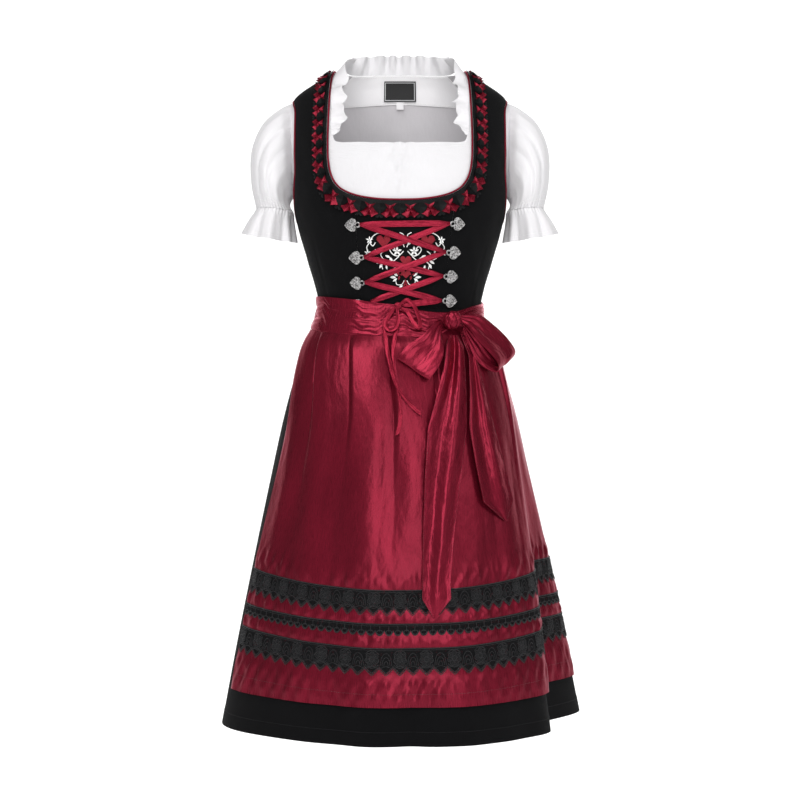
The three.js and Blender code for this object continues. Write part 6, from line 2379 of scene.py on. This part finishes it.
@dataclass
class Sash:
    """The apron's gathered waistband, wound round the waist."""

    bench: Workbench
    edges: Chart = Chart(
        ("angle", "top", "bottom", "lift"),
        (
            (-180, 352, 392, 2), (-135, 352, 396, 2), (-90, 354, 405, 2), (-60, 359, 415, 2.6),
            (-36, 365, 421, 5.4), (-18, 371, 423, 4), (0, 375, 424, 2.2), (25, 385, 425, 2),
            (45, 384, 402, 2), (62, 374, 390, 2), (90, 364, 387, 2), (135, 353, 390, 2), (180, 352, 392, 2)
        )
    )

    def edge(self, angle: Points, name: str) -> Points:
        """Drop of the band's edge, or its lift, at an angle."""
        return self.edges.read(name, Form.turned(angle))

    def build(self) -> None:
        """Builds the band."""
        form, bench = self.bench.form, self.bench
        angle = np.linspace(-180, 180, 577)[:-1][None, :]
        share = np.linspace(0, 1, 41)[:, None]
        drop = mix(self.edge(angle, "top"), self.edge(angle, "bottom"), share)
        stand = mix(self.edge(angle, "lift"), 2.0, share**3)
        turn = np.radians(angle)
        fall = share + 0.13 * np.sin(turn * 4 + 0.8) + 0.08 * np.sin(turn * 11 + 2.0)
        fall = fall + 0.03 * np.sin(turn * 27)
        broad = 2 * np.abs(np.sin(math.pi * (2.3 * fall + 0.2))) ** 0.6 - 1.1
        narrow = 2 * np.abs(np.sin(math.pi * (5.6 * fall + 0.9 * np.sin(turn * 5 + 1.0)))) ** 0.8 - 1.1
        folds = 1.25 * broad + 0.5 * narrow
        tucked = np.sin(np.clip(share, 0, 1) * math.pi) ** 0.45
        lift = stand + 0.5 + tucked * (1.6 + folds * (0.9 + 0.25 * np.sin(turn * 9)))
        grid = form.skin(*np.broadcast_arrays(angle, drop), lift)
        cloth = Cloth(grid, form.outward(*np.broadcast_arrays(angle, drop)), closed=True)
        bench.hang(
            "waist_sash_cloth", cloth, 0.8, bench.finishes.sash, Held.GATHERED, ["skirt_front_cloth"],
            ["waist_sash"]
        )


@dataclass
class Apron:
    """The satin apron below its band, with soft pleats and three bands of lace."""

    bench: Workbench
    sash: Sash
    satin: float = 1.0
    lift: float = 2.4
    pleats: int = 8
    sides: Chart = Chart(
        ("drop", "left", "right"),
        (
            (424, -79, 103), (480, -75, 104), (552, -72, 105), (650, -75, 106.3), (743, -78.5, 107.6),
            (860, -80.5, 109.3), (977, -82, 111)
        )
    )
    rows: Chart = Chart(
        ("drop", "pleat", "climb"),
        (
            (424, 1.2, 0), (438, 6, 2), (470, 8, 6), (530, 7.4, 10), (610, 5, 16), (705, 3, 22),
            (804.5, 1.4, 26), (842, 1.2, 25), (854, 1, 18), (871, 1, 18), (890, 1, 19), (930, 1, 18),
            (977, 1, 3)
        )
    )

    def shares(self, count: int) -> Points:
        """Shares across the apron at equal distances along the lower half."""
        fine = np.linspace(0, 1, 801)
        left, right = self.sides.read("left", 860.0), self.sides.read("right", 860.0)
        path = self.bench.form.face(mix(left, right, fine), 860.0)
        run = np.r_[0, np.cumsum(np.linalg.norm(np.diff(path, axis=0), axis=-1))]
        return np.interp(np.linspace(0, run[-1], count + 1), run, fine)

    def points(
        self, share: Points, along: Points, drop: Points, lift: Points | float = 0.0
    ) -> tuple[Points, Points]:
        """Points on the apron and the way it looks.

        Args:
            share: place across, in angle.
            along: place across, in cloth; pleats repeat evenly along it.
            drop: drop in the front middle.
            lift: distance off the satin.

        Returns:
            Points and directions.
        """
        down = np.clip((drop - 424) / (977 - 424), 0, 1)
        angle = mix(self.sides.read("left", drop), self.sides.read("right", drop), share)
        climbed = self.rows.read("climb", drop) * np.minimum(np.abs(angle) / 90, 1) ** 2
        top = self.sash.edge(angle, "bottom") + 0.6
        step = np.interp(drop, self.rows.column("drop"), np.arange(len(self.rows.rows)))
        height = np.maximum(drop - climbed - (424 - top) * (1 - down) ** 6, top + step * 8)
        turn = (along - 0.12) * self.pleats
        place = turn % 1.0
        knife = soft_step(place, 0, 0.14) * (1 - 0.9 * np.clip((place - 0.14) / 0.86, 0, 1))
        wander = 0.9 * np.sin(along * 21 + drop / 160) * soft_step(drop, 500, 800)
        soft = (1 + np.cos((turn - 0.4) * 2 * math.pi + wander)) / 2
        wave = mix(knife, soft, soft_step(drop, 490, 720)) * (1 + 0.2 * np.sin(along * 17 + 1.0))
        fading = 1 - 0.6 * np.clip((np.abs(angle) - 50) / 30, 0, 1)
        depth = self.rows.read("pleat", drop)
        fine = 0.22 * np.cos(turn * 6 * math.pi + 1.2 * np.sin(along * 31)) * np.exp(-((drop - 424) / 40))
        drape = 1.6 * ripples(along * 100, drop, 31, 520, 13) * soft_step(drop, 450, 640)
        drape = drape * (1 - 0.8 * soft_step(drop, 780, 810))
        pinched = hump(drop, 789, 17) + hump(drop, 848, 9) + hump(drop, 880.5, 10)
        pinched = pinched + 0.9 * soft_step(drop, 928, 944) * (1 - 0.6 * soft_step(drop, 964, 977))
        puckers = 0.8 + ripples(along * 100, drop, 41, 36, 4.4)
        tucks = 0.5 + ripples(along * 100, drop, 47, 150, 2.0) * 0.5
        raised = self.lift + depth * wave * fading + fine + drape + pinched * (1.5 * puckers + 0.7 * tucks)
        raised = np.maximum(raised, self.lift - 0.3)
        form = self.bench.form
        return form.skin(angle, height, raised + lift), form.outward(angle, height)

    def surface(self, columns: int, drops: Points, lift: float = 0.0) -> Cloth:
        """Part of the apron as a sheet."""
        share = self.shares(columns)[None, :]
        along = np.linspace(0, 1, columns + 1)[None, :]
        share, along, drop = np.broadcast_arrays(share, along, drops[:, None])
        points, out = self.points(share, along, drop, lift)
        return Cloth(points, out)

    def build(self) -> None:
        """Builds the panel and its hem."""
        bench = self.bench
        drops = np.r_[
            np.linspace(424, 470, 22)[:-1], np.linspace(470, 780, 44)[:-1], np.linspace(780, 977, 62)
        ]
        cloth = self.surface(374, drops)
        hem = Lines()
        row = int(np.argmin(np.abs(drops - 957)))
        hem.add(cloth.lifted(np.full(cloth.points.shape[:2], 0.6)).points[row, 2:-2], 0.3)
        sewn = bench.sew("apron_hem_stitches", hem, bench.finishes.dark_thread, 3.4, 2.4, 0.6)
        bench.hang(
            "apron_cloth", cloth, self.satin, bench.finishes.satin, Held.GATHERED, ["waist_sash_cloth"],
            ["apron_panel"], [sewn]
        )


@dataclass
class LaceBand:
    """A band of guipure lace sewn across the apron, scalloped below."""

    bench: Workbench
    apron: Apron
    name: str
    top: float
    bottom: float
    points: int
    deep: float
    flowers: bool

    def at(self, along: Points, drop: Points, lift: float) -> Points:
        """Points on the apron at places along the cloth."""
        even = self.apron.shares(800)
        share = np.interp(along, np.linspace(0, 1, 801), even)
        return self.apron.points(share, np.asarray(along, float), np.asarray(drop, float), lift)[0]

    def scallop(self, along: Points) -> Points:
        """Drop of the lower edge: pointed teeth, or rounded drops on the narrow band."""
        turn = np.abs((along * self.points) % 1.0 - 0.5) * 2
        return self.bottom - self.deep * (turn**1.15 if self.flowers else 1.9 * turn**2.4)

    def flower(self) -> bpy.types.Mesh:
        """A medallion of corded petals round an eye, about 25 mm across.

        Returns:
            The medallion's mesh.
        """
        lines = Lines()
        for index in range(7):
            turn = math.radians(index * 360 / 7 + 90)
            middle = (6.6 * math.cos(turn), 6.6 * math.sin(turn))
            lines.add(arc(middle, 3.0, 0, 345, 14) + [0, 0, 0.6], 0.5, True)
            lines.add(arc(middle, 1.2, 0, 330, 8) + [0, 0, 0.9], 0.4, True)
        lines.add(arc((0, 0), 2.6, 0, 340, 14) + [0, 0, 0.8], 0.5, True)
        lines.add(arc((0, 0), 1.0, 0, 330, 8) + [0, 0, 1.1], 0.4, True)
        lines.add(arc((0, 0), 11.2, 35, 145, 16) + [0, 0, 0.4], 0.45)
        lines.add(arc((0, 0), 11.2, 215, 325, 16) + [0, 0, 0.4], 0.45)
        return self.bench.threads.run(
            lines.carrier("flower"), Sides=6, Material=self.bench.finishes.lace_cord.material()
        )

    def toothed(self, cords: Lines, along: Points) -> None:
        """Adds the corded net of a wide band: a double edge, its bars and fans between medallions.

        Args:
            cords: takes the cords.
            along: places along the band.
        """
        for index in range(self.points * 6):
            place = (index + 0.5) / (self.points * 6)
            edge = float(self.scallop(np.array(place)))
            cords.add(self.at(np.full(4, place), np.linspace(edge - 3.6, edge - 0.3, 4), 1.7), 0.4)
        turn = along * self.points * 2 * math.pi
        low = self.bottom - self.deep
        cords.add(self.at(along, low - 2.4 + 1.5 * np.cos(turn), 1.6), 0.45)
        for index in range(0, self.points, 2):
            middle = (index + 1.5) / self.points
            for reach in (0.16, 0.3, 0.44):
                swing = np.linspace(-1, 1, 11)
                drop = low - 4.5 - reach * 42 * np.sqrt(np.maximum(1 - swing**2, 0.0))
                cords.add(self.at(middle + swing * reach * 0.95 / self.points, drop, 1.7), 0.42)

    def drops(self, cords: Lines) -> None:
        """Adds the corded drops of the narrow band.

        Args:
            cords: takes the cords.
        """
        for index in range(self.points):
            middle = (index + 0.5) / self.points
            wide = 0.32 / self.points
            turn = np.linspace(0, 2 * math.pi, 13)[:-1]
            drop = self.bottom - 5.0 + 3.2 * np.sin(turn)
            cords.add(self.at(middle + wide * np.cos(turn), drop, 1.8), 0.5, True)
            cords.add(self.at(np.full(4, middle), np.linspace(self.top + 3, self.bottom - 6, 4), 1.8), 0.45)

    def medallions(self) -> bpy.types.Object:
        """Places a medallion over every second tooth.

        Returns:
            The piece.
        """
        places = Places()
        height = self.bottom - self.deep - self.top
        for index in range(0, self.points, 2):
            place = (index + 0.5) / self.points
            drop = self.top + height * 0.53
            ends = self.at(np.array([place - 0.004, place + 0.004]), np.full(2, drop), 1.3)
            rise = self.at(np.full(2, place), np.array([drop + 3, drop - 3]), 1.3)
            across, up = unit(ends[1] - ends[0]), unit(rise[1] - rise[0])
            wide = float(np.linalg.norm(ends[1] - ends[0])) / 0.008 / self.points
            places.add(
                ends.mean(axis=0), across, unit(np.cross(across, up)), (wide / 19.5, height / 26, 1.0)
            )
        name, finish = f"{self.name}_flowers", self.bench.finishes.lace_cord
        return self.bench.put(name, self.bench.place(name, self.flower(), places, finish, 0.02), finish)

    def build(self) -> None:
        """Builds the ground, its cords and its medallions."""
        bench = self.bench
        columns = self.points * (16 if self.flowers else 12)
        along = np.linspace(0, 1, columns + 1)
        low = self.scallop(along)
        inset = 2.3 if self.flowers else 0.4
        grid = np.stack(
            [self.at(along, mix(self.top, low - inset, share), 1.1) for share in np.linspace(0, 1, 15)]
        )
        ground = Cloth(grid, grid - [0.0, 0.0, grid[..., 2].mean()])
        cords = Lines()
        cords.add(self.at(along, np.full(columns + 1, self.top), 1.6), 0.75)
        cords.add(self.at(along, np.full(columns + 1, self.top + 2.6), 1.6), 0.35)
        for into, thick in ((0.3, 0.6), (3.8, 0.5)) if self.flowers else ((0.3, 0.6),):
            cords.add(self.at(along, low - into, 1.7), thick)
        if self.flowers:
            self.toothed(cords, along)
        else:
            self.drops(cords)
        sewn = [bench.lay(f"{self.name}_cords", cords, bench.finishes.lace_cord, 6)]
        if self.flowers:
            sewn.append(self.medallions())
        bench.hang(
            f"{self.name}_ground", ground, 0.8, bench.finishes.lace, Held.STRETCHED, ["apron_cloth"],
            [self.name], sewn
        )


@dataclass
class Bow:
    """The apron's bow: a wound knot, two folded loops and two hanging ends."""

    bench: Workbench
    satin: float = 1.0
    knot: tuple[float, float, float, float, float, float] = (80, 398, -110.6, 14, 16, 10)
    left: Chart = Chart(
        ("rib", "near_x", "near_drop", "near_lift", "far_x", "far_drop", "far_lift"),
        (
            (0, 63, 397, 12, 64, 407, 12), (1, 54, 401, 19, 63, 422, 17), (2, 35, 421, 23, 66, 445, 22),
            (3, 11, 438, 22, 60, 466, 22), (4, -2, 455, 17, 46, 487, 18), (5, -2, 456, 12.3, 45, 488, 13),
            (6, 12, 440, 11, 58, 467, 11), (7, 36, 422, 10.9, 63, 445, 10.9),
            (8, 54, 404, 10.4, 63, 423, 10.4), (9, 62, 398, 5.8, 63, 408, 5.8)
        )
    )
    right: Chart = Chart(
        ("rib", "near_x", "near_y", "near_drop", "far_x", "far_y", "far_drop"),
        (
            (0, 93.3, -111, 400, 92.6, -103, 389), (1, 104, -115, 410, 122, -96, 389),
            (2, 118, -114, 428, 145, -80, 404), (3, 138, -108, 448, 167, -62, 424),
            (4, 149, -102, 462, 181, -48, 444), (5, 151, -98, 474, 172, -52, 458),
            (6, 144, -100, 477, 160, -74, 456), (7, 126, -110, 468, 144, -92, 446),
            (8, 111, -113, 449, 127, -102, 424), (9, 96.6, -108, 411, 97.4, -102, 401)
        )
    )
    long_end: Chart = Chart(
        ("drop", "left", "right", "lift", "fold"),
        (
            (421, 74, 88, 10, 1), (438, 70, 97, 14, 3.5), (472, 66, 99, 15.5, 4.5), (508, 57, 101, 14.5, 4),
            (562, 42, 101, 13.5, 4), (640, 37, 92, 11.5, 3.5), (720, 34, 81, 11, 3),
            (790, 33, 75, 13.4, 1.6), (816, 33, 76, 13.4, 1.4), (844, 50, 54, 12, 0)
        )
    )
    short_end: Chart = Chart(
        ("drop", "left", "right", "lift", "fold"),
        (
            (416, 92, 97, 5.9, 0), (452, 105, 117, 11.5, 0.6), (502, 106, 129, 12.5, 2),
            (562, 105, 145, 12, 2.5), (620, 115, 161, 11, 3), (674, 126, 174, 9.5, 2), (705, 160, 164, 8, 0)
        )
    )

    def loop(self, name: str, near: Points, far: Points) -> None:
        """Makes a folded loop from its near and far edges.

        Args:
            name: the loop's side.
            near: points along its near edge.
            far: points along its far edge.
        """
        last = len(near) - 1
        step = np.linspace(0, last, 97)
        names = ("rib", "x", "y", "z")
        edges = []
        for side in (near, far):
            chart = Chart(names, tuple((i, *point) for i, point in enumerate(side)))
            edges.append(np.stack([chart.read(axis, step) for axis in names[1:]], -1))
        share = np.linspace(0, 1, 29)
        grid = mix(edges[0][:, None], edges[1][:, None], share[None, :, None])
        out = unit(np.cross(np.gradient(grid, axis=0), np.gradient(grid, axis=1)))
        swing = np.sin(step / last * math.pi)[:, None]
        grid[..., 1] -= 1.5 * np.sin(share * math.pi * 3)[None, :] * swing
        end = np.maximum(hump(step, 0, 1.6), hump(step, last, 1.6))[:, None]
        gather = 0.8 * np.cos(share * math.pi * 7 + 0.5)[None, :] * end
        soft = 0.6 * np.sin(share * 9 + 2.0)[None, :] * np.sin(step * 1.7)[:, None] * swing
        cloth = Cloth(grid + out * (gather + soft)[..., None], out)
        node = f"bow_loop_{name}"
        self.bench.hang(
            node + "_cloth", cloth, self.satin, self.bench.finishes.bow, Held.FOLDED, ["bow_knot_cloth"],
            [node]
        )

    def hanging(self, name: str, chart: Chart) -> None:
        """Makes a hanging end with soft folds down its length.

        Args:
            name: the end's name.
            chart: its edges, lift and fold down its length.
        """
        form = self.bench.form
        keys = chart.column("drop")
        drop = np.interp(np.linspace(0, len(keys) - 1, 121), np.arange(len(keys)), keys)
        row = np.interp(drop, keys, np.arange(len(keys)))[:, None]
        share = np.linspace(0, 1, 41)[None, :]
        left, right = (np.interp(drop, keys, chart.column(side))[:, None] for side in ("left", "right"))
        fold, stand = chart.read("fold", drop)[:, None], chart.read("lift", drop)[:, None]
        x = mix(left, right, share)
        wave = fold * np.sin(share * math.pi * 3 + row * 0.35)
        fine = 0.5 * np.sin(share * 17 + row * 1.3) * hump(row, 0, 2.2)
        lift = stand + wave + fine
        drops = np.broadcast_to(drop[:, None], x.shape)
        grid = form.front(x, drops, lift)
        cloth = Cloth(grid, form.outward(form.angle_at(x, drops), drops))
        hem = Lines()
        for column in (1, -2):
            hem.add(cloth.lifted(np.full(x.shape, 0.55)).points[8:-3, column], 0.25)
        sewn = self.bench.sew(
            f"bow_end_{name}_stitches", hem, self.bench.finishes.dark_thread, 3.4, 2.4, 0.5
        )
        node = f"bow_tail_{name}"
        self.bench.hang(
            node + "_cloth", cloth, self.satin, self.bench.finishes.bow, Held.HUNG, ["bow_knot_cloth"],
            [node], [sewn]
        )

    def wound_knot(self) -> None:
        """Makes the knot: satin wound round the band with deep slanting creases."""
        x, drop, y, wide, high, deep = self.knot
        turn = np.linspace(0, 2 * math.pi, 97)[:-1][None, :]
        rise = np.linspace(-0.97, 0.97, 49)[:, None]
        round_ = np.sqrt(1 - rise**2 * 0.93)
        slant = 0.15 * np.abs(np.sin(turn * 3 + rise * 1.3 + 0.4 * np.sin(turn * 2))) ** 0.7
        slant = slant + 0.05 * np.abs(np.sin(turn * 6.0 - rise * 2.4)) ** 0.8 - 0.13
        size = round_ * (0.92 + slant)
        grid = np.stack(
            np.broadcast_arrays(
                x + wide * size * np.cos(turn) + rise * 1.6, y + deep * size * np.sin(turn),
                -drop + 0.86 * high * rise * (1 + 0.05 * np.cos(turn * 3 + 1.0))
            ),
            -1
        )
        looks = np.stack(np.broadcast_arrays(np.cos(turn), np.sin(turn), rise * 0), -1)
        cloth = Cloth(grid, looks, closed=True)
        self.bench.hang(
            "bow_knot_cloth", cloth, 0.8, self.bench.finishes.bow, Held.FOLDED, ["waist_sash_cloth"],
            ["bow_knot"]
        )

    def build(self) -> None:
        """Builds the whole bow."""
        form = self.bench.form
        self.wound_knot()
        column = self.left.column
        near = form.front(column("near_x"), column("near_drop"), column("near_lift"))
        far = form.front(column("far_x"), column("far_drop"), column("far_lift"))
        self.loop("left", near, far)
        column = self.right.column
        near = np.stack([column("near_x"), column("near_y"), -column("near_drop")], -1)
        far = np.stack([column("far_x"), column("far_y"), -column("far_drop")], -1)
        self.loop("right", near, far)
        self.hanging("long", self.long_end)
        self.hanging("short", self.short_end)


def main() -> None:
    """Builds the studio, the lacing's cords and then the garment from the inside out."""
    logging.basicConfig(level=logging.INFO, format="%(name)s %(message)s")
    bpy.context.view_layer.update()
    Studio().build()
    bench = Workbench()
    Lacing(bench).build()
    blouse = Blouse(bench)
    blouse.build()
    Collar(bench).build()
    for name, side in (("left", -1), ("right", 1)):
        Sleeve(bench, name, side, blouse.armhole).build()
    Bodice(bench).build()
    NeckTrim(bench).build()
    Piping(bench).build()
    Hooks(bench).build()
    Embroidery(bench).build()
    Skirt(bench).build()
    sash = Sash(bench)
    sash.build()
    apron = Apron(bench, sash)
    apron.build()
    for name, top, bottom, points, deep, flowers in (
        ("apron_lace_top", 804.5, 842.0, 36, 10.0, True),
        ("apron_lace_middle", 854.0, 871.0, 54, 4.0, False),
        ("apron_lace_bottom", 890.0, 930.0, 36, 10.0, True)
    ):
        LaceBand(bench, apron, name, top, bottom, points, deep, flowers).build()
    Bow(bench).build()
    log.info("sheets %s", json.dumps(bench.sheets))
    log.info("cords %s", json.dumps(bench.cords))


if __name__ == "__main__":
    main()
